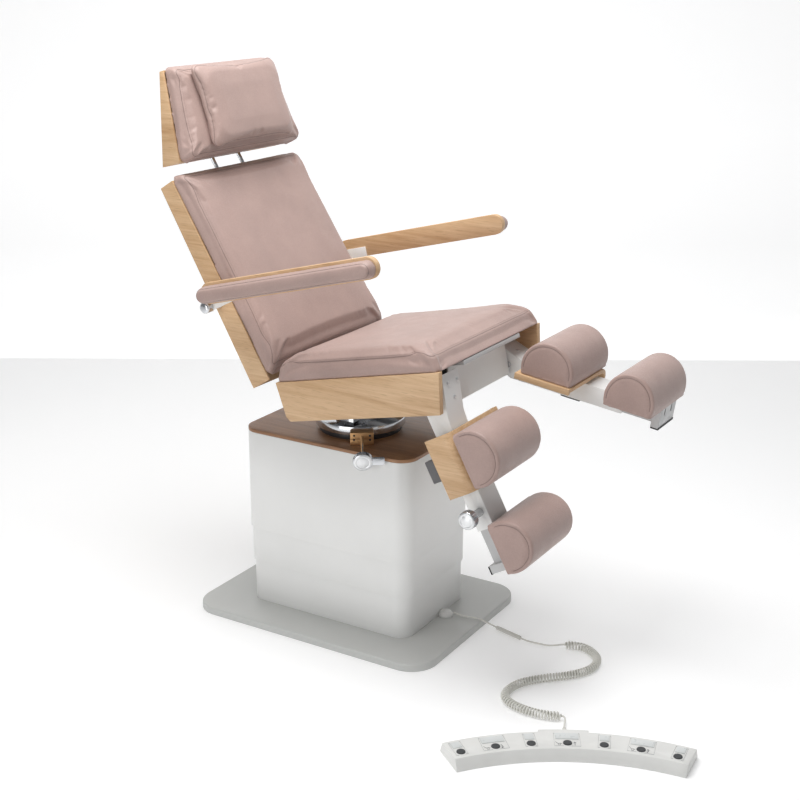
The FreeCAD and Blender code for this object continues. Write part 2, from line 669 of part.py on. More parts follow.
def seat_frame():
    """Welded frame: two long tubes, two cross tubes, posts under the pan, lugs for legs and back."""
    inner_face = SEAT_HALF - PANEL_THICK
    parts = []
    for side in (1, -1):
        x = LONG_TUBE_X if side > 0 else both(LONG_TUBE_X)
        y = (FRONT_TUBE_Y[1], REAR_TUBE_Y[0])
        parts.append(square_tube(x, y, LONG_TUBE_Z, TUBE_SKIN, 1))
        for post_y in (FRONT_TUBE_Y, REAR_TUBE_Y):
            parts.append(box(x, post_y, (CROSS_TUBE_Z[1], PAN_Z[0])))
        lug_x = BACK_LUG_X if side > 0 else both(BACK_LUG_X)
        y, z = BACK_AXIS
        outline = [(REAR_TUBE_Y[0], CROSS_TUBE_Z[1]), (REAR_TUBE_Y[1], CROSS_TUBE_Z[0]),
                   (y + BACK_LUG_R, z), (y - BACK_LUG_R / 2, z + BACK_LUG_R / 2)]
        parts.append(slab(outline, lug_x))
        parts.append(rod_x(BACK_LUG_R, lug_x, y, z))
        lug_x = (RAIL_X[0] + RAIL_WALL + SIDE_GAP, RAIL_X[1] - RAIL_WALL - SIDE_GAP)
        lug_x = lug_x if side > 0 else both(lug_x)
        y, z = LEG_AXIS
        parts.append(box(lug_x, (y, FRONT_TUBE_Y[0]), (z - LEG_BOSS_R, z + LEG_BOSS_R)))
        parts.append(rod_x(LEG_BOSS_R, lug_x, y, z))
    for y in (FRONT_TUBE_Y, REAR_TUBE_Y):
        parts.append(square_tube((-inner_face, inner_face), y, CROSS_TUBE_Z, TUBE_SKIN, 0))
    frame = fuse(parts)
    tilt_bore = rod_x(TILT_PIN_R + RUN_FIT, (-inner_face, inner_face), 0.0, 0.0)
    leg_bore = rod_x(LEG_PIN_R + RUN_FIT, (-inner_face, inner_face), *LEG_AXIS)
    back_bore = rod_x(BACK_PIN_R + RUN_FIT, (-inner_face, inner_face), *BACK_AXIS)
    return seat(cut(frame, tilt_bore, leg_bore, back_bore))


def seat_pins():
    """Tilt pin, two leg pins and two back pins."""
    pins = [rod_x(TILT_PIN_R, (-TILT_PIN_HALF, TILT_PIN_HALF), 0.0, 0.0)]
    leg_x = (RAIL_X[0] - TUBE_SKIN, RAIL_X[1] + TUBE_SKIN)
    back_x = (BACK_BRACKET_X[0] + TUBE_SKIN, BACK_LUG_X[1] + TUBE_SKIN)
    for x in (leg_x, both(leg_x)):
        pins.append(rod_x(LEG_PIN_R, x, *LEG_AXIS))
    for x in (back_x, both(back_x)):
        pins.append(rod_x(BACK_PIN_R, x, *BACK_AXIS))
    return seat(Part.Compound(pins))


def seat_side_panels():
    outline = [(PANEL_FRONT_TOP, PAN_Z[1]), (PANEL_FRONT_LOW, PANEL_LOW), (PANEL_REAR_LOW, PANEL_LOW),
               PANEL_REAR_KNEE, (PANEL_REAR_TOP, PAN_Z[1])]
    x = (SEAT_HALF - PANEL_THICK, SEAT_HALF)
    return seat(Part.Compound([slab(outline, x), slab(outline, both(x))]))


def seat_front_panel():
    x = (-FRONT_PANEL_HALF, FRONT_PANEL_HALF)
    return seat(box(x, FRONT_PANEL_Y, (FRONT_PANEL_LOW, PAN_Z[0])))


def seat_pan():
    half = SEAT_HALF - PANEL_THICK
    pan = box((-half, half), (PANEL_FRONT_TOP, PAN_REAR), PAN_Z)
    z = (PAN_Z[0] - OVERRUN, PAN_Z[1] + OVERRUN)
    front = (PANEL_FRONT_TOP - OVERRUN, PAN_NOTCH_Y)
    notch = (PAN_NOTCH_X, half + OVERRUN)
    horn = box(HORN_NOTCH_X, (HORN_NOTCH_Y, PAN_REAR + OVERRUN), z)
    return seat(cut(pan, box(notch, front, z), box(both(notch), front, z), horn))


def seat_cushion():
    levels = []
    for rise, *insets in zip(SEAT_RISE_SHARES, SEAT_SIDE_SHARES, SEAT_FRONT_SHARES, SEAT_REAR_SHARES):
        side, front, rear = [share * inset for share, inset in zip(insets, SEAT_CROWN_INSETS)]
        half = SEAT_HALF - side
        height = PAN_Z[1] + rise * SEAT_CUSHION_HEIGHT
        levels.append((half, half, SEAT_CUSHION_Y[0] + front, SEAT_CUSHION_Y[1] - rear, height))
    return seat(padded(levels, CUSHION_CORNER_R, CUSHION_DRAW, lambda u, v, w: Vector(u, v, w)))


def tilt_eye():
    """Horn eye of the tilt drive in the seat's level frame."""
    tilt = math.radians(SEAT_TILT)
    return (-HORN_RADIUS * math.sin(tilt), HORN_RADIUS * math.cos(tilt))


def drive_housing(x, z):
    """Tube of one electric drive with its bore, its motor below and its block on the front tube."""
    tube = rod_y(DRIVE_R, x, DRIVE_Y, z)
    bore = rod_y(ROD_R + RUN_FIT, x, (DRIVE_Y[1] - DRIVE_BORE, DRIVE_Y[1] + OVERRUN), z)
    motor = rod_y(DRIVE_MOTOR_R, x, DRIVE_MOTOR_Y, z - DRIVE_MOTOR_DROP)
    block_y = (DRIVE_Y[0] - DRIVE_MOUNT[1], DRIVE_Y[0])
    block = box((x - DRIVE_MOUNT[0], x + DRIVE_MOUNT[0]), block_y, (CROSS_TUBE_Z[1], z))
    return cut(fuse([tube, motor, block]), bore)


def seat_actuators():
    tilt_z = tilt_eye()[1]
    drives = [drive_housing(0.0, tilt_z), drive_housing(BACK_DRIVE_X, BACK_DRIVE_Z)]
    return seat(Part.Compound(drives))


def tilt_actuator_rod():
    """Push rod with a fork about the turntable's horn."""
    y, z = tilt_eye()
    start = y - 2 * HORN_R
    rod = rod_y(ROD_R, 0.0, (DRIVE_Y[1] - ROD_INSIDE, start - FORK_REACH), z)
    inner = HORN_HALF + FORK_GAP
    outer = inner + FORK_PLATE
    neck = box((-outer, outer), (start - FORK_REACH, start), (z - HORN_R, z + HORN_R))
    parts = [rod, neck]
    for x in ((inner, outer), (-outer, -inner)):
        parts.append(box(x, (start, y), (z - HORN_R, z + HORN_R)))
        parts.append(rod_x(HORN_R, x, y, z))
    hole = rod_x(HORN_PIN_R + EYE_PLAY, (-outer - OVERRUN, outer + OVERRUN), y, z)
    return seat(cut(fuse(parts), hole))


def back_eye():
    """Horn eye of the back drive in the seat's level frame."""
    lean = math.radians(BACK_RECLINE - SEAT_TILT)
    y = BACK_AXIS[0] - BACK_HORN_LENGTH * math.sin(lean)
    return (y, BACK_AXIS[1] - BACK_HORN_LENGTH * math.cos(lean))


def back_actuator_rod():
    """Push rod with an upright slot that the back's horn pin runs in."""
    y = back_eye()[0]
    slot = BACK_HORN_PIN_R + SLOT_PLAY
    front = y - slot - FORK_WALL
    rear = y + slot + FORK_WALL
    inner = (BACK_HORN_X[1] - BACK_HORN_X[0]) / 2 + FORK_GAP
    outer = inner + FORK_PLATE
    across = (BACK_DRIVE_X - outer, BACK_DRIVE_X + outer)
    rod = rod_y(ROD_R, BACK_DRIVE_X, (DRIVE_Y[1] - ROD_INSIDE, front - FORK_REACH), BACK_DRIVE_Z)
    base_z = (FORK_LOW - FORK_BASE, FORK_LOW)
    parts = [rod, box(across, (front - FORK_REACH, front), (base_z[0], FORK_TOP))]
    parts.append(box(across, (front, rear), base_z))
    for x in ((across[0], BACK_DRIVE_X - inner), (BACK_DRIVE_X + inner, across[1])):
        parts.append(box(x, (front, y - slot), (base_z[1], FORK_TOP)))
        parts.append(box(x, (y + slot, rear), (base_z[1], FORK_TOP)))
    return seat(fuse(parts))


def back_point(y, z):
    """World place of a point given in the back's upright frame."""
    lean = math.radians(-BACK_RECLINE)
    hinge = seat_point(*BACK_AXIS)
    along = y * math.cos(lean) - z * math.sin(lean)
    up = y * math.sin(lean) + z * math.cos(lean)
    return Vector(0, hinge.y + along, hinge.z + up)


def back(shape):
    return tilted(shape, -BACK_RECLINE, seat_point(*BACK_AXIS))


def between(pair, share):
    """Value at a share of the way from the first limit to the second."""
    return pair[0] + (pair[1] - pair[0]) * share


def tapered_tray(half, front, rear, z, corner, at):
    """Loft between a low and a high section that are given as pairs, sampled at two shares."""
    wires = []
    for share in at:
        wide = between(half, share)
        y = (between(front, share), between(rear, share))
        points = [(-wide, y[0]), (wide, y[0]), (wide, y[1]), (-wide, y[1])]
        height = between(z, share)
        wires.append(rounded_wire(points, [0.0, 0.0, corner, corner], [0.0] * 4,
                                  lambda u, v, h=height: Vector(u, v, h)))
    return Part.makeLoft(wires, True, True)


def inset_pair(pair, step):
    return (pair[0] - step, pair[1] - step)


def back_shell():
    """Oak tray with a closed top, open below and to the front where the cushion closes it."""
    z = (SHELL_LOW, SHELL_TOP)
    length = SHELL_TOP - SHELL_LOW
    shell = tapered_tray(SHELL_HALF, SHELL_FRONT, SHELL_REAR, z, SHELL_CORNER_R, (0.0, 1.0))
    inner_front = inset_pair(SHELL_FRONT, OVERRUN)
    inner_rear = inset_pair(SHELL_REAR, SHELL_WALL)
    inner_half = inset_pair(SHELL_HALF, SHELL_WALL)
    at = (-OVERRUN / length, 1.0 - 2 * SHELL_WALL / length)
    hollow = tapered_tray(inner_half, inner_front, inner_rear, z, SHELL_CORNER_R - SHELL_WALL, at)
    tools = [hollow]
    for x in (HEAD_ROD_X, -HEAD_ROD_X):
        tools.append(rod_z(HEAD_ROD_R + SIDE_GAP, x, HEAD_ROD_Y, (GUIDE_Z[1], SHELL_TOP + OVERRUN)))
    half = SHELL_HALF[0]
    tools.append(rod_x(ARM_AXLE_R + SIDE_GAP, (-half, half), *ARM_HUB))
    return back(cut(shell, *tools))


def back_face(z):
    """Y of the shell's front plane at a height in the back's frame."""
    return between(SHELL_FRONT, (z - SHELL_LOW) / (SHELL_TOP - SHELL_LOW))


def back_cushion():
    levels = []
    for share, *insets in zip(BACK_DEPTH_SHARES, BACK_SIDE_SHARES, BACK_LOW_SHARES, BACK_TOP_SHARES):
        side, low, top = [part * inset for part, inset in zip(insets, BACK_CROWN_INSETS)]
        levels.append((SHELL_HALF[0] - side, SHELL_HALF[1] - side,
                       BACK_CUSHION_Z[0] + low, BACK_CUSHION_Z[1] - top, share))

    def place(u, v, w):
        depth = between(BACK_CUSHION_DEPTH, (v - SHELL_LOW) / (SHELL_TOP - SHELL_LOW))
        return Vector(u, back_face(v) - w * depth, v)

    return back(padded(levels, CUSHION_CORNER_R, CUSHION_DRAW, place))


def back_frame():
    """Hinge tube with its horn, two brackets, a spine plate, guides for the headrest rods, arm sockets."""
    tube = rod_x(BACK_TUBE_R, (-BACK_BRACKET_X[1], BACK_BRACKET_X[1]), 0.0, 0.0)
    parts = [tube]
    boss = BACK_BRACKET_R
    for x in (BACK_BRACKET_X, both(BACK_BRACKET_X)):
        parts.append(rod_x(boss, x, 0.0, 0.0))
        outline = [(0.0, boss - OVERRUN), (boss - OVERRUN, 0.0), (SPINE_Y[1], SPINE_Z[0] + 2 * boss),
                   (SPINE_Y[0], SPINE_Z[0] + 2 * boss), (OVERRUN, SPINE_Z[0] - boss)]
        parts.append(slab(outline, x))
    parts.append(box((-SPINE_HALF, SPINE_HALF), SPINE_Y, SPINE_Z))
    for x in (HEAD_ROD_X, -HEAD_ROD_X):
        guide_y = (HEAD_ROD_Y - GUIDE_HALF, SPINE_Y[0])
        parts.append(box((x - GUIDE_HALF, x + GUIDE_HALF), guide_y, GUIDE_Z))
    hub_y, hub_z = ARM_HUB
    parts.append(rod_x(ARM_SOCKET_R, (-ARM_SOCKET_HALF, ARM_SOCKET_HALF), hub_y, hub_z))
    saddle_z = (hub_z - ARM_AXLE_R, hub_z + ARM_AXLE_R)
    parts.append(box((-SPINE_HALF, SPINE_HALF), (SPINE_Y[1], hub_y), saddle_z))
    end = BACK_HORN_LENGTH
    horn_half = BACK_TUBE_R - OVERRUN
    parts.append(box(BACK_HORN_X, (-horn_half, horn_half), (-end, 0.0)))
    parts.append(rod_x(horn_half, BACK_HORN_X, 0.0, -end))
    parts.append(rod_x(BACK_HORN_PIN_R, BACK_HORN_PIN_X, 0.0, -end))
    tools = []
    for x in (BACK_BRACKET_X, both(BACK_BRACKET_X)):
        tools.append(rod_x(BACK_PIN_R + RUN_FIT, (x[0] - OVERRUN, x[1] + OVERRUN), 0.0, 0.0))
    for x in (HEAD_ROD_X, -HEAD_ROD_X):
        bore_z = (GUIDE_Z[0] - OVERRUN, GUIDE_Z[1] + OVERRUN)
        tools.append(rod_z(HEAD_ROD_R + RUN_FIT, x, HEAD_ROD_Y, bore_z))
    bore_x = (ARM_AXLE_START, ARM_SOCKET_HALF + OVERRUN)
    for x in (bore_x, both(bore_x)):
        tools.append(rod_x(ARM_AXLE_R + RUN_FIT, x, hub_y, hub_z))
    return back(cut(fuse(parts), *tools))


def headrest_rods():
    parts = [rod_x(HEAD_ROD_R, (-HEAD_TUBE_HALF, HEAD_TUBE_HALF), HEAD_ROD_Y, HEAD_HINGE_Z)]
    for x in (HEAD_ROD_X, -HEAD_ROD_X):
        parts.append(rod_z(HEAD_ROD_R, x, HEAD_ROD_Y, (HEAD_ROD_LOW, HEAD_HINGE_Z)))
    return back(fuse(parts))


def head(shape):
    return tilted(shape, -HEAD_RECLINE, back_point(HEAD_ROD_Y, HEAD_HINGE_Z))


def head_shell():
    z = (HEAD_SHELL_LOW, HEAD_SHELL_TOP)
    length = HEAD_SHELL_TOP - HEAD_SHELL_LOW
    front = (HEAD_SHELL_FRONT, HEAD_SHELL_FRONT)
    shell = tapered_tray(HEAD_SHELL_HALF, front, HEAD_SHELL_REAR, z, HEAD_SHELL_CORNER_R, (0.0, 1.0))
    wall = SHELL_WALL
    inner_half = inset_pair(HEAD_SHELL_HALF, wall)
    at = ((HEAD_POCKET_TOP - HEAD_SHELL_LOW + wall) / length, 1.0 - wall / length)
    hollow = tapered_tray(inner_half, inset_pair(front, OVERRUN), inset_pair(HEAD_SHELL_REAR, wall),
                          z, HEAD_HOLLOW_CORNER_R, at)
    pocket_z = (HEAD_SHELL_LOW - OVERRUN, HEAD_POCKET_TOP)
    pocket = box((-HEAD_POCKET_HALF, HEAD_POCKET_HALF), HEAD_POCKET_Y, pocket_z)
    reach = HEAD_TUBE_HALF + SIDE_GAP
    bore = rod_x(HEAD_ROD_R + RUN_FIT, (-reach, reach), 0.0, 0.0)
    return head(cut(shell, hollow, pocket, bore))


def head_depth(z):
    return between(HEAD_CUSHION_DEPTH, (z - HEAD_CUSHION_Z[0]) / (HEAD_CUSHION_Z[1] - HEAD_CUSHION_Z[0]))


def head_cushion():
    levels = []
    for share, side_share, low_share in zip(HEAD_DEPTH_SHARES, HEAD_SIDE_SHARES, HEAD_LOW_SHARES):
        side = side_share * HEAD_CROWN_INSET
        low = low_share * HEAD_CROWN_INSET
        levels.append((HEAD_CUSHION_HALF[0] - side, HEAD_CUSHION_HALF[1] - side,
                       HEAD_CUSHION_Z[0] + low, HEAD_CUSHION_Z[1] - low, share))
    return head(padded(levels, CUSHION_CORNER_R, CUSHION_DRAW,
                       lambda u, v, w: Vector(u, HEAD_SHELL_FRONT - w * head_depth(v), v)))


def head_pillow():
    levels = []
    for share, inset_share in zip(PILLOW_DEPTH_SHARES, PILLOW_INSET_SHARES):
        inset = inset_share * PILLOW_CROWN_INSET
        half = PILLOW_HALF - inset
        levels.append((half, half, PILLOW_Z[0] + inset, PILLOW_Z[1] - inset, share))
    crown = 1.0 + SIDE_GAP / HEAD_CUSHION_DEPTH[1]
    lift = crown + HEAD_DEPTH_SHARES[-1] - 1.0

    def place(u, v, w):
        return Vector(u, HEAD_SHELL_FRONT - lift * head_depth(v) - w * PILLOW_DEPTH, v)

    return head(padded(levels, CUSHION_CORNER_R, CUSHION_DRAW, place))


def arm(shape, side):
    """Arm piece built on +X about its hub, on the sitter's left or right."""
    placed = shape if side == "left" else mirror_x(shape)
    return tilted(placed, -ARM_SLOPE, back_point(*ARM_HUB))


def board_outline(y, z, x):
    """Board on edge with fully rounded ends, between two X limits."""
    radius = (z[1] - z[0]) / 2
    middle = (z[0] + z[1]) / 2
    body = box(x, (y[0] + radius, y[1] - radius), z)
    ends = [rod_x(radius, x, y[0] + radius, middle), rod_x(radius, x, y[1] - radius, middle)]
    return fuse([body] + ends)


def arm_bracket(side):
    """Hub with its axle and cap, and the tapered plate that carries the board."""
    plate_x = ARM_PLATE_X
    boss_start = SHELL_HALF[0] - ARM_AXLE_R
    axle = rod_x(ARM_AXLE_R, (ARM_AXLE_START + OVERRUN, plate_x[1]), 0.0, 0.0)
    boss = rod_x(ARM_BOSS_R, (boss_start, plate_x[0]), 0.0, 0.0)
    cap = rod_x(ARM_CAP_R, (plate_x[0], plate_x[1] + ARM_CAP_THICK), 0.0, 0.0)
    reach = ARM_BRACKET_REACH
    neck = ARM_CAP_R * ARM_NECK_SHARE
    top = (ARM_BOARD_Z[0] + ARM_BOARD_Z[1]) / 2
    outline = [(neck, -neck), (ARM_CAP_R, 0.0), (0.0, top), (-reach, top), (-reach, ARM_BOARD_Z[0]),
               (-neck, -neck)]
    return arm(fuse([axle, boss, cap, slab(outline, plate_x)]), side)


def arm_board(side):
    return arm(board_outline(ARM_BOARD_Y, ARM_BOARD_Z, ARM_BOARD_X), side)


def arm_pad(side):
    """Padded outer face of the arm, a long rounded form lofted outwards."""
    wires = []
    radius = (ARM_PAD_Z[1] - ARM_PAD_Z[0]) / 2
    middle = (ARM_PAD_Z[0] + ARM_PAD_Z[1]) / 2
    for share, inset_share in zip(ARM_DEPTH_SHARES, ARM_INSET_SHARES):
        inset = inset_share * ARM_CROWN_INSET
        x = ARM_BOARD_X[1] + share * ARM_PAD_THICK
        half = radius - inset
        ends = (ARM_BOARD_Y[0] + radius, ARM_BOARD_Y[1] - radius)
        slant = half * math.sqrt(0.5)
        edges = [Part.makeLine(Vector(x, ends[0], middle + half), Vector(x, ends[1], middle + half))]
        quarter = [(ends[1], middle + half), (ends[1] + slant, middle + slant), (ends[1] + half, middle),
                   (ends[1] + slant, middle - slant), (ends[1], middle - half)]
        far = [(ends[0], middle - half), (ends[0] - slant, middle - slant), (ends[0] - half, middle),
               (ends[0] - slant, middle + slant), (ends[0], middle + half)]
        for five in (quarter, far):
            spots = [Vector(x, y, z) for y, z in five]
            edges.append(Part.Arc(spots[0], spots[1], spots[2]).toShape())
            edges.append(Part.Arc(spots[2], spots[3], spots[4]).toShape())
            if five is quarter:
                edges.append(Part.makeLine(spots[4], Vector(x, ends[0], middle - half)))
        wires.append(Part.Wire(edges))
    return arm(Part.makeLoft(wires, True, True), side)


def leg(shape, side):
    """Leg piece built on +X with its length along -Y, on the sitter's left or right."""
    placed = shape if side == "left" else mirror_x(shape)
    return tilted(placed, LEG_ANGLES[side], seat_point(*LEG_AXIS))


def leg_box(x, a, n):
    """Box between limits along the leg and square to the rail's front face."""
    return box(x, (-a[1], -a[0]), (n[0] + RAIL_FACE_HEIGHT, n[1] + RAIL_FACE_HEIGHT))


def leg_slab(points, x):
    return slab([(-a, n + RAIL_FACE_HEIGHT) for a, n in points], x)


def leg_bar(radius, x, a, n):
    return rod_x(radius, x, -a, n + RAIL_FACE_HEIGHT)


def carrier_base():
    return CARRIER_TOP - CARRIER_THICK


def leg_rail(side):
    """Hinge link of two cheeks and a front plate, welded to the rectangular rail, with a saddle plate."""
    tip_a, tip_n = LINK_TIP
    knee_a, knee_n = LINK_KNEE
    deep = -RAIL_DEPTH
    cheek = [LINK_TIP, LINK_KNEE, (LINK_END, 0.0), (LINK_END, deep), (-LINK_HEEL[0] / 2, deep),
             LINK_HEEL, LINK_BACK, (tip_a, LINK_TIP_LOW)]
    front = [LINK_TIP, LINK_KNEE, (LINK_END, 0.0), (LINK_END, -RAIL_WALL),
             (knee_a, knee_n - RAIL_WALL), (tip_a, tip_n - RAIL_WALL)]
    inner, outer = RAIL_X
    parts = [leg_slab(cheek, (inner, inner + RAIL_WALL)), leg_slab(cheek, (outer - RAIL_WALL, outer)),
             leg_slab(front, RAIL_X)]
    rail = leg_box(RAIL_X, (RAIL_START, RAIL_END), (deep, 0.0))
    hollow = leg_box((inner + RAIL_WALL, outer - RAIL_WALL),
                     (RAIL_START - OVERRUN, RAIL_END + OVERRUN), (deep + RAIL_WALL, -RAIL_WALL))
    parts.append(rail.cut(hollow))
    parts.append(leg_box(RAIL_X, CARRIER_SEAT_A, (0.0, carrier_base())))
    pin = rod_x(LEG_PIN_R + RUN_FIT, (inner - OVERRUN, outer + OVERRUN), 0.0, 0.0)
    stud = leg_bar(LEG_STUD_R + RUN_FIT, (outer - RAIL_WALL - OVERRUN, outer + OVERRUN),
                   LEG_KNOB_A, LEG_KNOB_HEIGHT)
    return leg(cut(fuse(parts), pin, stud), side)


def leg_carrier(side):
    """Bent plywood saddle: flat under the roll, bent down on the outer side, a low lip inside."""
    low = -CARRIER_A[1]
    length = CARRIER_A[1] - CARRIER_A[0]
    top = CARRIER_TOP + RAIL_FACE_HEIGHT
    base = carrier_base() + RAIL_FACE_HEIGHT
    apron = CARRIER_APRON + RAIL_FACE_HEIGHT
    lip = base - CARRIER_LIP
    inner, outer = CARRIER_X
    centre_x = outer - CARRIER_BEND
    centre_z = top - CARRIER_BEND
    large = CARRIER_BEND
    small = CARRIER_BEND - CARRIER_THICK
    slant = math.sqrt(0.5)

    def spot(x, z):
        return Vector(x, low, z)

    edges = [
        Part.makeLine(spot(inner, top), spot(centre_x, top)),
        Part.Arc(spot(centre_x, top), spot(centre_x + large * slant, centre_z + large * slant),
                 spot(outer, centre_z)).toShape(),
        Part.makeLine(spot(outer, centre_z), spot(outer, apron)),
        Part.makeLine(spot(outer, apron), spot(outer - CARRIER_THICK, apron)),
        Part.makeLine(spot(outer - CARRIER_THICK, apron), spot(outer - CARRIER_THICK, centre_z)),
        Part.Arc(spot(outer - CARRIER_THICK, centre_z),
                 spot(centre_x + small * slant, centre_z + small * slant), spot(centre_x, base)).toShape(),
        Part.makeLine(spot(centre_x, base), spot(inner + CARRIER_THICK, base)),
        Part.makeLine(spot(inner + CARRIER_THICK, base), spot(inner + CARRIER_THICK, lip)),
        Part.makeLine(spot(inner + CARRIER_THICK, lip), spot(inner, lip)),
        Part.makeLine(spot(inner, lip), spot(inner, top)),
    ]
    return leg(Part.Face(Part.Wire(edges)).extrude(Vector(0, length, 0)), side)


def roll(a, base, side):
    """Padded roll of D section with gently domed ends, lying on a flat side."""
    middle = -(a[0] + a[1]) / 2
    half = (a[1] - a[0]) / 2
    floor = base + RAIL_FACE_HEIGHT
    stations = []
    for share in ROLL_END_SHARES:
        stations.append((ROLL_X[0] + share * ROLL_DOME, share))
    for share in reversed(ROLL_END_SHARES):
        stations.append((ROLL_X[1] - share * ROLL_DOME, share))
    wires = []
    for x, share in stations:
        slim = ROLL_DOME * (1 - math.sin(share * math.pi / 2))
        wide = half - slim
        tall = ROLL_HEIGHT - slim
        heights = [floor + tall * s for s in ROLL_HEIGHT_SHARES]
        widths = [wide * s for s in ROLL_HALF_SHARES]
        spots = [Vector(x, middle - widths[0], heights[0]), Vector(x, middle - widths[1], heights[1]),
                 Vector(x, middle - widths[2], heights[2]), Vector(x, middle, heights[3]),
                 Vector(x, middle + widths[2], heights[2]), Vector(x, middle + widths[1], heights[1]),
                 Vector(x, middle + widths[0], heights[0])]
        edges = [Part.Arc(spots[0], spots[1], spots[2]).toShape(),
                 Part.Arc(spots[2], spots[3], spots[4]).toShape(),
                 Part.Arc(spots[4], spots[5], spots[6]).toShape(),
                 Part.makeLine(spots[6], spots[0])]
        wires.append(Part.Wire(edges))
    return leg(Part.makeLoft(wires, True, True), side)


def leg_inner_rail(side):
    """Tube that draws out of the rail, the bridge under the lower roll, and the slotted end box."""
    skin = RAIL_WALL + SIDE_GAP
    x = (RAIL_X[0] + skin, RAIL_X[1] - skin)
    n = (-RAIL_DEPTH + skin, -skin)
    tube = leg_box(x, INNER_RAIL_A, n)
    bore_x = (x[0] + RAIL_WALL, x[1] - RAIL_WALL)
    bore_n = (n[0] + RAIL_WALL, n[1] - RAIL_WALL)
    bore = leg_box(bore_x, (INNER_RAIL_A[0] - OVERRUN, INNER_RAIL_A[1] + OVERRUN), bore_n)
    bridge = leg_box(RAIL_X, INNER_BRIDGE_A, (n[1], LOWER_ROLL_BASE))
    end = leg_box(END_BOX_X, END_BOX_A, END_BOX_HEIGHTS)
    room_x = (END_BOX_X[0] + END_PLATE, END_BOX_X[1] - END_PLATE)
    room_n = (END_BOX_HEIGHTS[0] - OVERRUN, END_BOX_HEIGHTS[1] - END_PLATE)
    room = leg_box(room_x, (END_BOX_A[0] + END_PLATE, END_BOX_A[1] - END_PLATE), room_n)
    slots = []
    middle = (RAIL_X[0] + RAIL_X[1]) / 2
    for shift in (-END_SLOT_GAP / 2, END_SLOT_GAP / 2):
        slot_x = (middle + shift - END_SLOT[0] / 2, middle + shift + END_SLOT[0] / 2)
        slot_n = (END_SLOT_HEIGHT - END_SLOT[1] / 2, END_SLOT_HEIGHT + END_SLOT[1] / 2)
        slots.append(leg_box(slot_x, (END_BOX_A[1] - 2 * END_PLATE, END_BOX_A[1] + OVERRUN), slot_n))
    return leg(fuse([tube.cut(bore), bridge, cut(end, room, *slots)]), side)


def leg_lock_knob(side):
    """Stud through the rail's outer wall, a hub and a round knob."""
    start = RAIL_X[1] - RAIL_WALL
    stud = leg_bar(LEG_STUD_R, (start, LEG_KNOB_X[0]), LEG_KNOB_A, LEG_KNOB_HEIGHT)
    hub = leg_bar(LEG_KNOB_HUB_R, (RAIL_X[1] + SIDE_GAP, LEG_KNOB_X[0]), LEG_KNOB_A, LEG_KNOB_HEIGHT)
    knob = leg_bar(LEG_KNOB_R, LEG_KNOB_X, LEG_KNOB_A, LEG_KNOB_HEIGHT)
    knob = knob.makeFillet(LOCK_KNOB_EDGE, [e for e in knob.Edges if isinstance(e.Curve, Part.Circle)])
    return leg(fuse([stud, hub, knob]), side)


def ring_point(radius, degrees, z):
    """Point on a circle about the foot control's centre."""
    angle = math.radians(degrees)
    x = CONTROL_CENTRE[0] + radius * math.cos(angle)
    return Vector(x, CONTROL_CENTRE[1] + radius * math.sin(angle), z)


def sector(profile, span):
    """Profile of radius and height points, swept about the foot control's centre."""
    spots = [Vector(CONTROL_CENTRE[0] + r, CONTROL_CENTRE[1], z) for r, z in profile]
    face = Part.Face(Part.makePolygon(spots + spots[:1]))
    centre = Vector(CONTROL_CENTRE[0], CONTROL_CENTRE[1], 0)
    face.rotate(centre, Z_AXIS, span[0])
    return face.revolve(centre, Z_AXIS, span[1] - span[0])


def control_angles():
    half = (BUTTON_COUNT - 1) / 2
    return [BUTTON_MIDDLE + (i - half) * BUTTON_PITCH for i in range(BUTTON_COUNT)]


def control_profile(wall):
    """Cross-section of the casing, moved inwards by a wall."""
    low = -OVERRUN if wall else 0.0
    return [(CONTROL_INNER + wall, low), (CONTROL_OUTER - wall, low),
            (CONTROL_OUTER - wall, CONTROL_REAR_LOW), (CONTROL_TOP_OUTER - wall, CONTROL_HEIGHT - wall),
            (CONTROL_TOP_INNER + wall, CONTROL_HEIGHT - wall), (CONTROL_INNER + wall, CONTROL_REAR_LOW)]


def foot_control_casing():
    body = sector(control_profile(0.0), CONTROL_SPAN)
    wall_turn = math.degrees(COVER_WALL / CONTROL_INNER)
    inner_span = (CONTROL_SPAN[0] + wall_turn, CONTROL_SPAN[1] - wall_turn)
    room = sector(control_profile(COVER_WALL), inner_span)
    rear = CONTROL_TOP_OUTER - 2 * COVER_WALL
    lug = sector([(rear, 0.0), (CONTROL_LUG_OUTER, 0.0), (CONTROL_LUG_OUTER, CONTROL_LUG_HEIGHT),
                  (rear, CONTROL_LUG_HEIGHT)], CONTROL_LUG_SPAN)
    parts = [body.cut(room), lug]
    top = CONTROL_HEIGHT
    for angle in control_angles():
        place = ring_point(BUTTON_RADIUS, angle, 0.0)
        parts.append(rod_z(BUTTON_COLLAR_R, place.x, place.y, (top - BUTTON_DEPTH, top + BUTTON_COLLAR)))
    holes = []
    for angle in control_angles():
        place = ring_point(BUTTON_RADIUS, angle, 0.0)
        z = (top - BUTTON_DEPTH - OVERRUN, top + BUTTON_COLLAR + OVERRUN)
        holes.append(rod_z(BUTTON_R + RUN_FIT, place.x, place.y, z))
    return cut(fuse(parts), *holes)


def foot_control_panels():
    """Raised label plates behind the buttons, narrow and wide in turn."""
    panels = []
    middle = (PANEL_RADII[0] + PANEL_RADII[1]) / 2
    for i, angle in enumerate(control_angles()):
        width = PANEL_WIDE if i % 2 else PANEL_NARROW
        half = math.degrees(width / middle) / 2
        inner, outer = PANEL_RADII
        top = CONTROL_HEIGHT + PANEL_RISE
        outline = [(inner, CONTROL_HEIGHT), (outer, CONTROL_HEIGHT), (outer, top), (inner, top)]
        panels.append(sector(outline, (angle - half, angle + half)))
    return Part.Compound(panels)


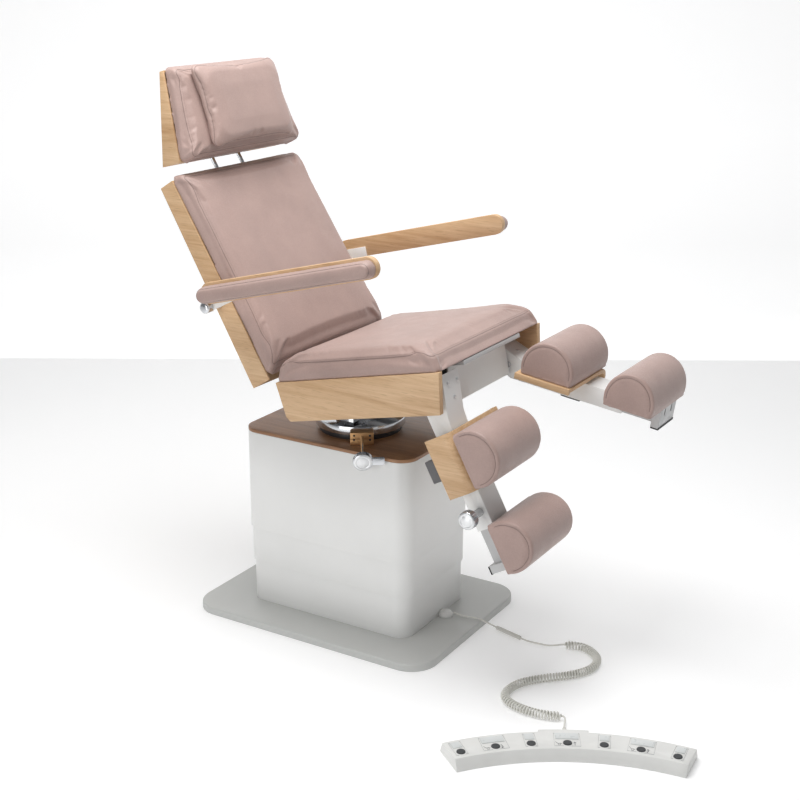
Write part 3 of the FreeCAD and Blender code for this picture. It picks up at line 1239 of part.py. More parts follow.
def foot_control_button(angle):
    place = ring_point(BUTTON_RADIUS, angle, 0.0)
    z = (CONTROL_HEIGHT + BUTTON_RISE - BUTTON_DEPTH, CONTROL_HEIGHT + BUTTON_RISE)
    button = rod_z(BUTTON_R, place.x, place.y, z)
    top = [e for e in button.Edges if isinstance(e.Curve, Part.Circle) and e.Curve.Center.z > z[1] - OVERRUN]
    return button.makeFillet(BUTTON_COLLAR, top)


def cable_outlet():
    """Low dome on the base plate, cut flat where it meets the lower cover."""
    cover_front = COLUMN_Y - COVER_DEPTH / 2
    x = OUTLET_X
    y = cover_front - OUTLET_PROUD
    low = BASE_THICK
    base = rod_z(OUTLET_R, x, y, (low, low + OUTLET_BASE))
    rise = OUTLET_HEIGHT - OUTLET_BASE
    ball_r = (OUTLET_R ** 2 + rise ** 2) / (2 * rise)
    ball = Part.makeSphere(ball_r, Vector(x, y, low + OUTLET_HEIGHT - ball_r))
    column = rod_z(OUTLET_R, x, y, (low + OUTLET_BASE, low + OUTLET_HEIGHT + OVERRUN))
    dome = fuse([base, ball.common(column)])
    span = (x - OUTLET_R - OVERRUN, x + OUTLET_R + OVERRUN)
    behind = box(span, (cover_front, y + OUTLET_R + OVERRUN), (low - OVERRUN, low + 2 * OUTLET_HEIGHT))
    return dome.cut(behind)


def rounded_path(points, name):
    """Straight runs joined by tangent arcs as large as the runs allow; prints the least radius."""
    spots = [Vector(*p) for p in points]
    edges = []
    start = spots[0]
    least = None
    for i in range(1, len(spots) - 1):
        back = spots[i - 1] - spots[i]
        ahead = spots[i + 1] - spots[i]
        turn = math.pi - back.getAngle(ahead)
        reach = LEAD_SHARE * min(back.Length, ahead.Length)
        radius = reach / math.tan(turn / 2)
        least = radius if least is None else min(least, radius)
        back.normalize()
        ahead.normalize()
        first = spots[i] + back * reach
        last = spots[i] + ahead * reach
        bisector = back + ahead
        bisector.normalize()
        depth = radius / math.cos(turn / 2) - radius
        edges.append(Part.LineSegment(start, first).toShape())
        edges.append(Part.Arc(first, spots[i] + bisector * depth, last).toShape())
        start = last
    edges.append(Part.LineSegment(start, spots[-1]).toShape())
    print(name, "least radius", round(least, 1))
    return Part.Wire(edges)


def tube_along(path, diameter, name):
    """Round tube along a path; prints its volume against section times length."""
    start = path.Edges[0].Vertexes[0].Point
    direction = path.Edges[0].tangentAt(path.Edges[0].FirstParameter)
    section = Part.Wire([Part.Circle(start, direction, diameter / 2).toShape()])
    tube = path.makePipeShell([section], True, False)
    expected = math.pi * diameter ** 2 / 4 * path.Length
    print(name, "length", round(path.Length, 1), "volume share", round(tube.Volume / expected, 4))
    return tube


def cord_lead():
    leads = []
    for i, points in enumerate((LEAD_FIRST, LEAD_SECOND, LEAD_THIRD)):
        name = "lead " + str(i + 1)
        leads.append(tube_along(rounded_path(points, name), CORD_D, name))
    return Part.Compound(leads)


def cord_sleeve():
    """In-line connector on the lead, and the tapered strain relief at the foot control."""
    start = Vector(*SLEEVE_ENDS[0])
    end = Vector(*SLEEVE_ENDS[1])
    body = Part.makeCylinder(SLEEVE_R, (end - start).Length, start, end - start)
    body = body.makeChamfer(OVERRUN, [e for e in body.Edges if isinstance(e.Curve, Part.Circle)])
    foot = ring_point(CONTROL_LUG_OUTER + SIDE_GAP, BUTTON_MIDDLE, LEAD_THIRD[-1][2])
    out = ring_point(CONTROL_LUG_OUTER + RELIEF_LENGTH, BUTTON_MIDDLE, LEAD_THIRD[-1][2]) - foot
    relief = Part.makeCone(RELIEF_R[1], RELIEF_R[0], RELIEF_LENGTH - SIDE_GAP, foot, out)
    return Part.Compound([body, relief])


def curl_line():
    """Smooth line through the route's runs: each corner is a parabola between the runs' middles."""
    spots = [Vector(x, y, CURL_Z) for x, y in CURL_ROUTE]
    pieces = []
    start = spots[0]
    for i in range(1, len(spots) - 1):
        last = i == len(spots) - 2
        end = spots[i + 1] if last else (spots[i] + spots[i + 1]) * 0.5
        pieces.append((start, spots[i], end))
        start = end
    return pieces


def curl_samples(per_piece):
    """Points along the smooth line with the distance run so far."""
    samples = []
    travelled = 0.0
    before = None
    for a, b, c in curl_line():
        for k in range(per_piece):
            t = k / per_piece
            spot = a * (1 - t) ** 2 + b * (2 * t * (1 - t)) + c * t ** 2
            if before is not None:
                travelled += (spot - before).Length
            samples.append((travelled, spot))
            before = spot
    end = curl_line()[-1][2]
    samples.append((travelled + (end - before).Length, end))
    return samples


def curl_point(samples, distance):
    """Point and direction on the smooth line at a distance from its start."""
    low = 0
    high = len(samples) - 1
    while high - low > 1:
        middle = (low + high) // 2
        if samples[middle][0] <= distance:
            low = middle
        else:
            high = middle
    s0, p0 = samples[low]
    s1, p1 = samples[high]
    share = (distance - s0) / (s1 - s0)
    direction = p1 - p0
    direction.normalize()
    return p0 + (p1 - p0) * share, direction


def helix_point(samples, distance):
    """Point of the wire: it turns about the line, and its turns open and close at the ends."""
    length = samples[-1][0]
    straight = CURL_WIRE
    coil = length - 2 * straight
    along = min(max((distance - straight) / coil, 0.0), 1.0)
    centre, direction = curl_point(samples, min(max(distance, 0.0), length))
    turns = along * CURL_COUNT
    opened = min(turns, CURL_COUNT - turns, 1.0)
    radius = (CURL_D - CURL_WIRE) / 2 * (1 - math.cos(opened * math.pi)) / 2
    side = direction.cross(Z_AXIS)
    angle = turns * 2 * math.pi
    return centre + side * (radius * math.sin(angle)) + Z_AXIS * (-radius * math.cos(angle))


def biarc(p0, t0, p1, t1):
    """Two arcs that leave p0 along t0 and reach p1 along t1."""
    chord = p1 - p0
    both_ways = t0 + t1
    bend = 2 * (1 - t0.dot(t1))
    across = chord.dot(both_ways)
    if bend < 1e-9:
        reach = chord.dot(chord) / (4 * chord.dot(t1))
    else:
        reach = (-across + math.sqrt(across ** 2 + bend * chord.dot(chord))) / bend
    first = p0 + t0 * reach
    last = p1 - t1 * reach
    joint = (first + last) * 0.5
    edges = []
    for start, corner, end in ((p0, first, joint), (joint, last, p1)):
        middle = (start + end) * 0.5
        height = (corner - middle).Length
        half = (end - start).Length / 2
        if height < 1e-6:
            edges.append(Part.LineSegment(start, end).toShape())
            continue
        sag = half * math.tan(math.atan2(height, half) / 2)
        edges.append(Part.Arc(start, middle + (corner - middle) * (sag / height), end).toShape())
    return edges


def curly_cord():
    """Curly stretch as one unbroken wire, on biarcs of a half turn."""
    samples = curl_samples(CURL_SAMPLES)
    length = samples[-1][0]
    coil = length - 2 * CURL_WIRE
    half_turns = 2 * CURL_COUNT
    places = [CURL_WIRE + coil * k / half_turns for k in range(half_turns + 1)]
    spots = [helix_point(samples, s) for s in places]
    step = coil / half_turns / CURL_SAMPLES
    tangents = []
    for s in places:
        direction = helix_point(samples, s + step) - helix_point(samples, s - step)
        direction.normalize()
        tangents.append(direction)
    start = spots[0] - tangents[0] * CURL_WIRE
    edges = [Part.LineSegment(start, spots[0]).toShape()]
    for k in range(half_turns):
        edges += biarc(spots[k], tangents[k], spots[k + 1], tangents[k + 1])
    edges.append(Part.LineSegment(spots[-1], spots[-1] + tangents[-1] * CURL_WIRE).toShape())
    print("curls: line", round(length, 1), "wire gap", round(least_gap(samples), 2))
    return tube_along(Part.Wire(edges), CURL_WIRE, "curls")


def least_gap(samples):
    """Least distance between one turn's surface and the next, over points of the wire."""
    length = samples[-1][0]
    pitch = length / CURL_COUNT
    count = CURL_COUNT * CURL_SAMPLES
    spots = [helix_point(samples, length * k / count) for k in range(count + 1)]
    least = pitch
    for k in range(len(spots)):
        for other in range(k + CURL_SAMPLES * 2 // 3, min(k + CURL_SAMPLES * 4 // 3, len(spots))):
            least = min(least, (spots[other] - spots[k]).Length - CURL_WIRE)
    return least


def write(name, shape):
    """Write one sub-part, after checking that its solids are sound."""
    if not shape.isValid():
        print(name, "is not valid")
    for solid in shape.Solids:
        if solid.Volume <= 0:
            print(name, "has a solid turned inside out")
    shape.exportStep(os.path.join("parts", name + ".step"))


def build():
    os.makedirs("parts", exist_ok=True)
    write("base_plate", base_plate())
    write("cover_lower", cover_shell(0, (BASE_THICK, LOWER_COVER_TOP)))
    write("cover_middle", cover_shell(1, MIDDLE_COVER_Z))
    write("cover_upper", cover_shell(2, UPPER_COVER_Z))
    write("column_outer", column_outer())
    write("column_middle", column_middle())
    write("column_inner", column_inner())
    write("lift_drive", lift_drive())
    write("column_head_plate", column_head_plate())
    write("column_top_panel", column_top_panel())
    write("swivel_clamp", swivel_clamp())
    write("swivel_lock_knob", swivel_lock_knob())
    write("swivel_turntable", swivel_turntable())
    write("seat_frame", seat_frame())
    write("seat_pins", seat_pins())
    write("seat_side_panels", seat_side_panels())
    write("seat_front_panel", seat_front_panel())
    write("seat_pan", seat_pan())
    write("seat_cushion", seat_cushion())
    write("seat_actuators", seat_actuators())
    write("tilt_actuator_rod", tilt_actuator_rod())
    write("back_actuator_rod", back_actuator_rod())
    write("back_frame", back_frame())
    write("back_shell", back_shell())
    write("back_cushion", back_cushion())
    write("headrest_rods", headrest_rods())
    write("head_shell", head_shell())
    write("head_cushion", head_cushion())
    write("head_pillow", head_pillow())
    for side in ("left", "right"):
        write(side + "_arm_bracket", arm_bracket(side))
        write(side + "_arm_board", arm_board(side))
        write(side + "_arm_pad", arm_pad(side))
        write(side + "_leg_rail", leg_rail(side))
        write(side + "_leg_carrier", leg_carrier(side))
        write(side + "_leg_upper_cushion", roll(UPPER_ROLL_A, CARRIER_TOP, side))
        write(side + "_leg_inner_rail", leg_inner_rail(side))
        write(side + "_leg_lower_cushion", roll(LOWER_ROLL_A, LOWER_ROLL_BASE, side))
        write(side + "_leg_lock_knob", leg_lock_knob(side))
    write("foot_control_casing", foot_control_casing())
    write("foot_control_panels", foot_control_panels())
    for i, angle in enumerate(control_angles()):
        write("foot_control_button_" + str(i + 1), foot_control_button(angle))
    write("cable_outlet", cable_outlet())
    write("cord_lead", cord_lead())
    write("cord_sleeve", cord_sleeve())
    write("curly_cord", curly_cord())


build()
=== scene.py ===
import json
import math

import bmesh
import bpy
from mathutils import Matrix, Vector
from mathutils.bvhtree import BVHTree
from mathutils.kdtree import KDTree

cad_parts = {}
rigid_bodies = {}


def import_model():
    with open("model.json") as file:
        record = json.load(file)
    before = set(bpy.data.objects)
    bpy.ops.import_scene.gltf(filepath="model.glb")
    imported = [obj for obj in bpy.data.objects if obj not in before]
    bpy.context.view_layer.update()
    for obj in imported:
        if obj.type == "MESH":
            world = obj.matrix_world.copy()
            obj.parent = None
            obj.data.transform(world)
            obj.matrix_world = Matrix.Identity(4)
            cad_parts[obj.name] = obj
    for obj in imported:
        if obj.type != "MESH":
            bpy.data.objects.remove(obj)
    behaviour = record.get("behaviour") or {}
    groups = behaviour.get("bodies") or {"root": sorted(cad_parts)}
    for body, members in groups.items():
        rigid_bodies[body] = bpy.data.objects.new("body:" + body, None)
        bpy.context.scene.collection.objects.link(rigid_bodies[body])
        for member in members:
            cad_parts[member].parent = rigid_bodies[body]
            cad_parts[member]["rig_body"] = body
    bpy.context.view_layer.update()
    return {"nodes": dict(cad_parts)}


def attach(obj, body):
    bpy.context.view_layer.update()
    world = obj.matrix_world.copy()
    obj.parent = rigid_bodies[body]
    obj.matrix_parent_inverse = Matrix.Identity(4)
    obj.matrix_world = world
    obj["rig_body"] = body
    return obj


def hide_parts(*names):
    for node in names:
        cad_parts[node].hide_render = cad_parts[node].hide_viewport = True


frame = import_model()

# Podiatry chair. Lengths are in metres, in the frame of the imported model:
# the sitter faces -Y, +X is the sitter's left and Z is up from the floor.
MM = 0.001
SIDES = ("right", "left")

# Tilts of the main groups, in degrees, and their pivots
SEAT_TILT = 12.2
PIVOT = Vector((0.0, -0.014, 0.680))
BACK_RECLINE = 31.5
BACK_AXIS = Vector((0.0, 0.092, 0.086))
HEAD_RECLINE = 16.0
HEAD_AXIS = Vector((0.0, 0.008, 0.668))
ARM_HUB = Vector((0.0, 0.035, 0.263))
ARM_SLOPE = 14.3
LEG_AXIS = Vector((0.0, -0.396, 0.003))
LEG_ANGLES = {"right": 61.5, "left": 8.0}
RAIL_OFFSET = 0.015


def placed(origin, degrees):
    """Frame with its origin at a point, turned about X."""
    return Matrix.Translation(origin) @ Matrix.Rotation(math.radians(degrees), 4, "X")


SEAT = placed(PIVOT, -SEAT_TILT)
BACK = placed(SEAT @ BACK_AXIS, -BACK_RECLINE)
HEAD = placed(BACK @ HEAD_AXIS, -HEAD_RECLINE)


def side_frame(origin, degrees, side):
    """Frame of a paired piece: built on +X, mirrored for the sitter's right."""
    mirror = Matrix.Scale(-1, 4, Vector((1, 0, 0))) if side == "right" else Matrix.Identity(4)
    return placed(origin, degrees) @ mirror


def arm_frame(side):
    return side_frame(BACK @ ARM_HUB, -ARM_SLOPE, side)


def leg_frame(side):
    return side_frame(SEAT @ LEG_AXIS, LEG_ANGLES[side], side)


def leg_point(x, along, out):
    """Point of a leg: across, along the leg from its hinge, and out from the rail's front face."""
    return Vector((x, -along, out + RAIL_OFFSET))


# Camera, solved from the photograph's straight edges
CAMERA_PLACE = Vector((-3.21045, -2.09071, 1.88267))
CAMERA_AZIMUTH = -58.7397
CAMERA_ELEVATION = 17.8016
CAMERA_ROLL = 0.1827
IMAGE_SIZE = 800.0
FOCAL_PIXELS = 1400.41
OPTICAL_CENTRE = (398.734, 395.496)
SENSOR = 36.0
CLIP_END = 100.0


def make_camera():
    """Camera at the photograph's place and angle, with its optical centre kept by a small shift."""
    azimuth = math.radians(CAMERA_AZIMUTH)
    elevation = math.radians(CAMERA_ELEVATION)
    back = Vector((math.sin(azimuth) * math.cos(elevation), -math.cos(azimuth) * math.cos(elevation),
                   math.sin(elevation)))
    right = Vector((0, 0, 1)).cross(back).normalized()
    up = back.cross(right)
    roll = math.radians(CAMERA_ROLL)
    turned_right = right * math.cos(roll) + up * math.sin(roll)
    turned_up = up * math.cos(roll) - right * math.sin(roll)
    data = bpy.data.cameras.new("camera")
    camera = bpy.data.objects.new("camera", data)
    bpy.context.scene.collection.objects.link(camera)
    turn = Matrix((turned_right, turned_up, back)).transposed().to_4x4()
    camera.matrix_world = Matrix.Translation(CAMERA_PLACE) @ turn
    data.sensor_width = SENSOR
    data.lens = FOCAL_PIXELS * SENSOR / IMAGE_SIZE
    data.shift_x = (IMAGE_SIZE / 2 - OPTICAL_CENTRE[0]) / IMAGE_SIZE
    data.shift_y = (OPTICAL_CENTRE[1] - IMAGE_SIZE / 2) / IMAGE_SIZE
    data.clip_end = CLIP_END
    bpy.context.scene.camera = camera


make_camera()


def link(name, data):
    """New object at the origin, holding a mesh or a curve."""
    obj = bpy.data.objects.new(name, data)
    bpy.context.scene.collection.objects.link(obj)
    return obj


def smooth(obj, angle=35.0):
    """Smooth shading with sharp edges kept beyond an angle."""
    mesh = obj.data
    mesh.polygons.foreach_set("use_smooth", [True] * len(mesh.polygons))
    mesh.set_sharp_from_angle(angle=math.radians(angle))
    return obj


def finish_piece(obj, body, material, node=None):
    """Give a piece its finish and its body, and let it stand for a node."""
    obj.data.materials.clear()
    obj.data.materials.append(material)
    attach(obj, body)
    if node:
        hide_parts(node)
    return obj


def body_of(node):
    """The moving body that carries a CAD node."""
    return frame["nodes"][node]["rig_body"]


class NodeTree:
    """What the node graphs of finishes and of geometry share."""

    def __init__(self, tree):
        self.nodes = tree.nodes
        self.links = tree.links

    def add(self, kind, links=(), **values):
        """New node with its inputs set by name or joined to the sockets given."""
        node = self.nodes.new(kind)
        for key, value in values.items():
            setattr(node, key, value)
        for key, source in dict(links).items():
            if isinstance(source, (int, float, tuple)):
                node.inputs[key].default_value = source
            else:
                self.links.new(source, node.inputs[key])
        return node


# Node graphs for the finishes
class Graph(NodeTree):
    """Short hand for one material's node graph."""

    def __init__(self, name):
        self.material = bpy.data.materials.new(name)
        self.material.use_nodes = True
        super().__init__(self.material.node_tree)
        self.shader = self.nodes["Principled BSDF"]
        self.place = self.nodes.new("ShaderNodeTexCoord").outputs["Object"]

    def set(self, **values):
        for key, value in values.items():
            self.shader.inputs[key.replace("_", " ")].default_value = value

    def mapping(self, turn=(0, 0, 0), scale=(1, 1, 1), move=(0, 0, 0)):
        angles = tuple(math.radians(a) for a in turn)
        node = self.add("ShaderNodeMapping", {"Vector": self.place, "Location": move, "Rotation": angles,
                                              "Scale": scale})
        return node.outputs["Vector"]

    def noise(self, vector, scale, detail=4.0, roughness=0.55, distortion=0.0):
        node = self.add("ShaderNodeTexNoise", {"Vector": vector, "Scale": scale, "Detail": detail,
                                               "Roughness": roughness, "Distortion": distortion})
        return node.outputs["Fac"]

    def span(self, value, low, high, to_low, to_high):
        """Value carried from one span to another, held at the ends."""
        node = self.add("ShaderNodeMapRange", {"Value": value, "From Min": low, "From Max": high,
                                               "To Min": to_low, "To Max": to_high})
        return node.outputs["Result"]

    def ramp(self, value, stops):
        """Colours at shares of the way from nought to one."""
        node = self.add("ShaderNodeValToRGB", {"Fac": value})
        elements = node.color_ramp.elements
        while len(elements) < len(stops):
            elements.new(0.5)
        for element, (share, colour) in zip(elements, stops):
            element.position = share
            element.color = (*colour, 1.0)
        return node.outputs["Color"]

    def blend(self, share, first, second, mode="MIX"):
        node = self.nodes.new("ShaderNodeMix")
        node.data_type = "RGBA"
        node.blend_type = mode
        for index, source in ((0, share), (6, first), (7, second)):
            if isinstance(source, (int, float)):
                node.inputs[index].default_value = source
            elif isinstance(source, tuple):
                node.inputs[index].default_value = (*source, 1.0) if len(source) == 3 else source
            else:
                self.links.new(source, node.inputs[index])
        return node.outputs[2]

    def add_up(self, first, second, factor=1.0):
        scaled = self.add("ShaderNodeMath", {0: second, 1: factor}, operation="MULTIPLY").outputs[0]
        return self.add("ShaderNodeMath", {0: first, 1: scaled}, operation="ADD").outputs[0]

    def colour(self, source):
        self.links.new(source, self.shader.inputs["Base Color"])

    def roughness(self, source):
        self.links.new(source, self.shader.inputs["Roughness"])

    def bump(self, height, distance, strength=1.0):
        node = self.add("ShaderNodeBump", {"Height": height, "Distance": distance, "Strength": strength})
        self.links.new(node.outputs["Normal"], self.shader.inputs["Normal"])


def srgb(red, green, blue):
    """Colour read off as 0 to 255, as the shader wants it."""
    out = []
    for level in (red, green, blue):
        share = level / 255
        out.append(share / 12.92 if share <= 0.04045 else ((share + 0.055) / 1.055) ** 2.4)
    return tuple(out)


def scaled(colour, factor):
    return tuple(c * factor for c in colour)


def vinyl(name, base):
    """Soft upholstery vinyl: fine pebbled grain, faint cloudy tone, satin sheen."""
    g = Graph(name)
    cloud = g.noise(g.place, 9.0, 3.0)
    fine = g.noise(g.place, 240.0, 3.0)
    tone = g.ramp(g.span(cloud, 0.3, 0.7, 0.0, 1.0), [(0.0, scaled(base, 0.93)), (1.0, scaled(base, 1.07))])
    speck = g.ramp(g.span(fine, 0.35, 0.65, 0.0, 1.0), [(0.0, scaled((1, 1, 1), 0.94)), (1.0, (1, 1, 1))])
    g.colour(g.blend(1.0, tone, speck, "MULTIPLY"))
    cells = g.add("ShaderNodeTexVoronoi", {"Vector": g.place, "Scale": 900.0}, feature="DISTANCE_TO_EDGE")
    grain = g.span(cells.outputs["Distance"], 0.0, 0.25, 0.0, 1.0)
    height = g.add_up(grain, fine, 0.8)
    g.bump(height, 0.00016, 0.55)
    g.roughness(g.span(g.noise(g.place, 30.0, 3.0), 0.3, 0.7, 0.40, 0.52))
    g.set(Sheen_Weight=0.25, Sheen_Roughness=0.45)
    return g.material


def oak(name, turn, light, dark, rough=0.42):
    """Oak veneer whose grain runs along Y of the turned pattern, with pores and cathedral bands."""
    g = Graph(name)
    along = g.mapping(turn=turn, scale=(1.0, 0.07, 1.0))
    waver = g.noise(along, 9.0, 2.0)
    bands = g.noise(along, 38.0, 6.0, 0.62, 0.9)
    streaks = g.noise(g.mapping(turn=turn, scale=(1.0, 0.025, 1.0)), 210.0, 4.0, 0.6)
    pores = g.noise(g.mapping(turn=turn, scale=(1.0, 0.045, 1.0)), 620.0, 2.0, 0.5)
    mixed = g.add_up(g.add_up(bands, streaks, 0.55), waver, 0.5)
    tone = g.ramp(g.span(mixed, 0.72, 1.32, 0.0, 1.0),
                  [(0.0, dark), (0.45, tuple((a + b) / 2 for a, b in zip(light, dark))), (1.0, light)])
    pore = g.span(pores, 0.60, 0.70, 0.0, 1.0)
    g.colour(g.blend(g.add("ShaderNodeMath", {0: pore, 1: 0.45}, operation="MULTIPLY").outputs[0], tone,
                     scaled(dark, 0.62)))
    height = g.add("ShaderNodeMath", {0: streaks, 1: pore}, operation="SUBTRACT").outputs[0]
    g.bump(height, 0.00018, 0.5)
    g.roughness(g.span(streaks, 0.3, 0.7, rough - 0.05, rough + 0.1))
    return g.material


def painted(name, base, rough=0.34, coat=0.25):
    """Powder-coated metal: faint orange peel, slight dust tone and small changes of gloss."""
    g = Graph(name)
    dust = g.noise(g.place, 5.0, 4.0)
    g.colour(g.ramp(g.span(dust, 0.3, 0.7, 0.0, 1.0), [(0.0, scaled(base, 0.965)), (1.0, base)]))
    g.roughness(g.span(g.noise(g.place, 22.0, 4.0), 0.3, 0.7, rough - 0.04, rough + 0.06))
    g.bump(g.noise(g.place, 700.0, 2.0), 0.00012, 0.35)
    g.set(Coat_Weight=coat, Coat_Roughness=0.3)
    return g.material


def plastic(name, base, rough=0.45, grain=0.3):
    """Moulded plastic with a fine spark-eroded texture."""
    g = Graph(name)
    g.colour(g.ramp(g.noise(g.place, 14.0, 3.0), [(0.3, scaled(base, 0.95)), (0.7, base)]))
    g.roughness(g.span(g.noise(g.place, 60.0, 3.0), 0.3, 0.7, rough - 0.05, rough + 0.07))
    g.bump(g.noise(g.place, 1500.0, 2.0), 0.00008, grain)
    return g.material


def metal(name, base, rough, turn=(0, 0, 0), brushed=0.0):
    """Bare metal with fine drawn lines and smudged gloss."""
    g = Graph(name)
    g.set(Metallic=1.0)
    smudge = g.noise(g.place, 35.0, 4.0)
    lines = g.noise(g.mapping(turn=turn, scale=(1.0, 0.02, 1.0)), 1400.0, 2.0)
    g.colour(g.ramp(smudge, [(0.3, scaled(base, 0.93)), (0.7, base)]))
    g.roughness(g.add_up(g.span(smudge, 0.3, 0.7, rough, rough * 1.5 + 0.02), lines, brushed * 0.12))
    g.bump(lines, 0.00003, 0.1 + brushed)
    return g.material


ROSE = srgb(175, 149, 141)
OAK_LIGHT = srgb(222, 189, 150)
OAK_DARK = srgb(186, 146, 104)
WHITE_PAINT = srgb(238, 238, 236)
GREY_PAINT = srgb(196, 197, 194)

MATERIALS = {
    "rose": vinyl("rose_vinyl", ROSE),
    # the seam welt is the rose vinyl at half brightness: painted shade of the seam's crease
    "seam": vinyl("rose_vinyl_seam", scaled(ROSE, 0.5)),
    "stitch": vinyl("rose_thread", scaled(ROSE, 0.72)),
    "oak_seat": oak("oak_along_seat", (SEAT_TILT, 0, 0), OAK_LIGHT, OAK_DARK),
    "oak_back": oak("oak_along_back", (BACK_RECLINE - 90.0, 0, 0), OAK_LIGHT, OAK_DARK),
    "oak_head": oak("oak_along_head", (HEAD_RECLINE - 90.0, 0, 0), OAK_LIGHT, OAK_DARK),
    "oak_arm": oak("oak_along_arm", (ARM_SLOPE, 0, 0), OAK_LIGHT, OAK_DARK),
    "oak_right_leg": oak("oak_on_right_leg", (-LEG_ANGLES["right"], 0, 0), OAK_LIGHT, OAK_DARK),
    "oak_left_leg": oak("oak_on_left_leg", (-LEG_ANGLES["left"], 0, 0), OAK_LIGHT, OAK_DARK),
    # the column's top panel gets darker oak colours than the rest: painted shade from the seat above it
    "top_panel": oak("oak_top_panel_painted_shade", (0, 0, 0), srgb(176, 132, 96), srgb(122, 84, 56), 0.36),
    "cover": painted("white_cover_paint", WHITE_PAINT),
    "plate": painted("grey_plate_paint", GREY_PAINT, 0.42, 0.1),
    "leg_paint": painted("white_leg_paint", WHITE_PAINT, 0.36, 0.2),
    "leg_tube": painted("grey_leg_paint", srgb(196, 196, 196), 0.38, 0.2),
    "frame": painted("grey_frame_paint", srgb(150, 152, 155), 0.45, 0.1),
    "clamp": painted("dark_clamp_paint", srgb(52, 52, 54), 0.4, 0.2),
    "brass": metal("brass_clamp_block", srgb(214, 170, 122), 0.32, brushed=0.3),
    "alloy": metal("column_alloy", srgb(196, 198, 200), 0.34, (90, 0, 0), 0.6),
    "chrome": metal("chrome", srgb(214, 216, 219), 0.10),
    "dark_chrome": metal("dark_chrome", srgb(120, 118, 118), 0.16),
    "satin": metal("satin_metal", srgb(228, 229, 230), 0.30),
    "hairline": plastic("label_hairline", srgb(178, 180, 180), 0.4),
    "ink": plastic("sign_ink", srgb(112, 114, 117), 0.5),
    "drive": plastic("black_drive_plastic", srgb(42, 42, 44)),
    "control": plastic("control_plastic", srgb(226, 226, 223), 0.4),
    "control_panel": plastic("control_panel_film", srgb(214, 217, 216), 0.3),
    "button": plastic("button_rubber", srgb(58, 60, 62), 0.55, 0.6),
    "cord": plastic("cord_plastic", srgb(222, 221, 214), 0.45),
    "sleeve": plastic("sleeve_plastic", srgb(214, 213, 206), 0.45),
    "dark_grey": plastic("dark_grey_plastic", srgb(96, 95, 96), 0.5),
    "black": plastic("black_trim", srgb(32, 32, 33), 0.5),
}


# Cords: the plain lead out of the base, and the curly cord with its plain ends
LEAD_D = 0.005
LEAD_FIRST = ((36, -311, 30), (36, -330, 28.2), (37, -350, 27.6), (40, -371, 28.6), (46, -391, 27.2),
              (54, -408, 17.5), (61, -423, 9), (60, -439, 6.3))
LEAD_SECOND = ((37, -528, 6.3), (35, -546, 4), (38, -568, 3.2), (41, -590, 3), (40, -611, 4.2), (44, -631, 8.5),
               (54, -650, 12.5))
LEAD_THIRD = ((-296, -818, 12.5), (-309, -828, 12.6), (-329, -834, 13.3), (-350.7, -843.7, 14))
CURL_ROUTE = ((54, -650), (77, -700), (51, -751), (18, -775), (-37, -779), (-97, -742), (-158, -675),
              (-213, -638), (-281, -634), (-313, -673), (-322, -734), (-312, -786), (-296, -818))
CURL_D = 0.024
CURL_COUNT = 80
CURL_Z = 0.0125
CURL_STEPS = 16
CURL_WIRE = 0.005
ROUTE_SAMPLES = 24
CORD_RESOLUTION = 4


def millimetres(points):
    """Points given in millimetres, in metres."""
    return [Vector(p) * MM for p in points]


def run_of_curl():
    """Fine points of the curly cord's middle line: parabolas between the middles of its straight runs."""
    route = [Vector((x, y, 0)) * MM for x, y in CURL_ROUTE]
    middles = [(a + b) / 2 for a, b in zip(route[1:-2], route[2:-1])]
    nodes = [route[0], *middles, route[-1]]
    line = []
    for start, corner, end in zip(nodes, route[1:-1], nodes[1:]):
        for i in range(ROUTE_SAMPLES):
            t = i / ROUTE_SAMPLES
            line.append(start * (1 - t) ** 2 + corner * (2 * t * (1 - t)) + end * t * t)
    line.append(nodes[-1])
    return line


def curl_points():
    """The wire of the curly cord, with straight ends one wire diameter long."""
    line = run_of_curl()
    reach = [0.0]
    for a, b in zip(line, line[1:]):
        reach.append(reach[-1] + (b - a).length)
    total = reach[-1]
    turning = total - 2 * CURL_WIRE
    count = CURL_COUNT * CURL_STEPS
    points = []
    k = 0
    for i in range(count + 1):
        distance = CURL_WIRE + turning * i / count
        while k < len(line) - 2 and reach[k + 1] < distance:
            k += 1
        share = (distance - reach[k]) / (reach[k + 1] - reach[k])
        centre = line[k].lerp(line[k + 1], share)
        before = line[max(k - 1, 0)]
        after = line[min(k + 2, len(line) - 1)]
        heading = (line[k + 1] - line[k]).normalized().lerp((after - before).normalized(), 0.5).normalized()
        side = heading.cross(Vector((0, 0, 1)))
        turns = CURL_COUNT * i / count
        opened = min(turns, CURL_COUNT - turns, 1.0)
        radius = (CURL_D - CURL_WIRE) / 2 * (1 - math.cos(math.pi * opened)) / 2
        angle = 2 * math.pi * turns
        centre = centre + Vector((0, 0, CURL_Z))
        points.append(centre + side * (radius * math.sin(angle)) - Vector((0, 0, 1)) * (radius * math.cos(angle)))
    return points


def nurbs(name, points, radius, material):
    """Round lead along points, which are the control points of one spline."""
    data = bpy.data.curves.new(name, "CURVE")
    data.dimensions = "3D"
    data.resolution_u = CORD_RESOLUTION
    data.bevel_depth = radius
    data.bevel_resolution = CORD_RESOLUTION
    data.use_fill_caps = True
    spline = data.splines.new("NURBS")
    spline.points.add(len(points) - 1)
    for point, place in zip(spline.points, points):
        point.co = (*place, 1.0)
    spline.order_u = 3
    spline.use_endpoint_u = True
    data.materials.append(material)
    return link(name, data)


def free_lead(name, points, node):
    """Lead that lies free on the floor and stands for a node."""
    lead = nurbs(name, points, LEAD_D / 2, MATERIALS["cord"])
    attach(lead, "root")
    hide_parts(node)
    return lead


first_points = millimetres(LEAD_FIRST)
first = free_lead("lead_to_sleeve", first_points, "cord_lead")
second_points = millimetres(LEAD_SECOND) + curl_points() + millimetres(LEAD_THIRD)
second = free_lead("curly_lead", second_points, "curly_cord")


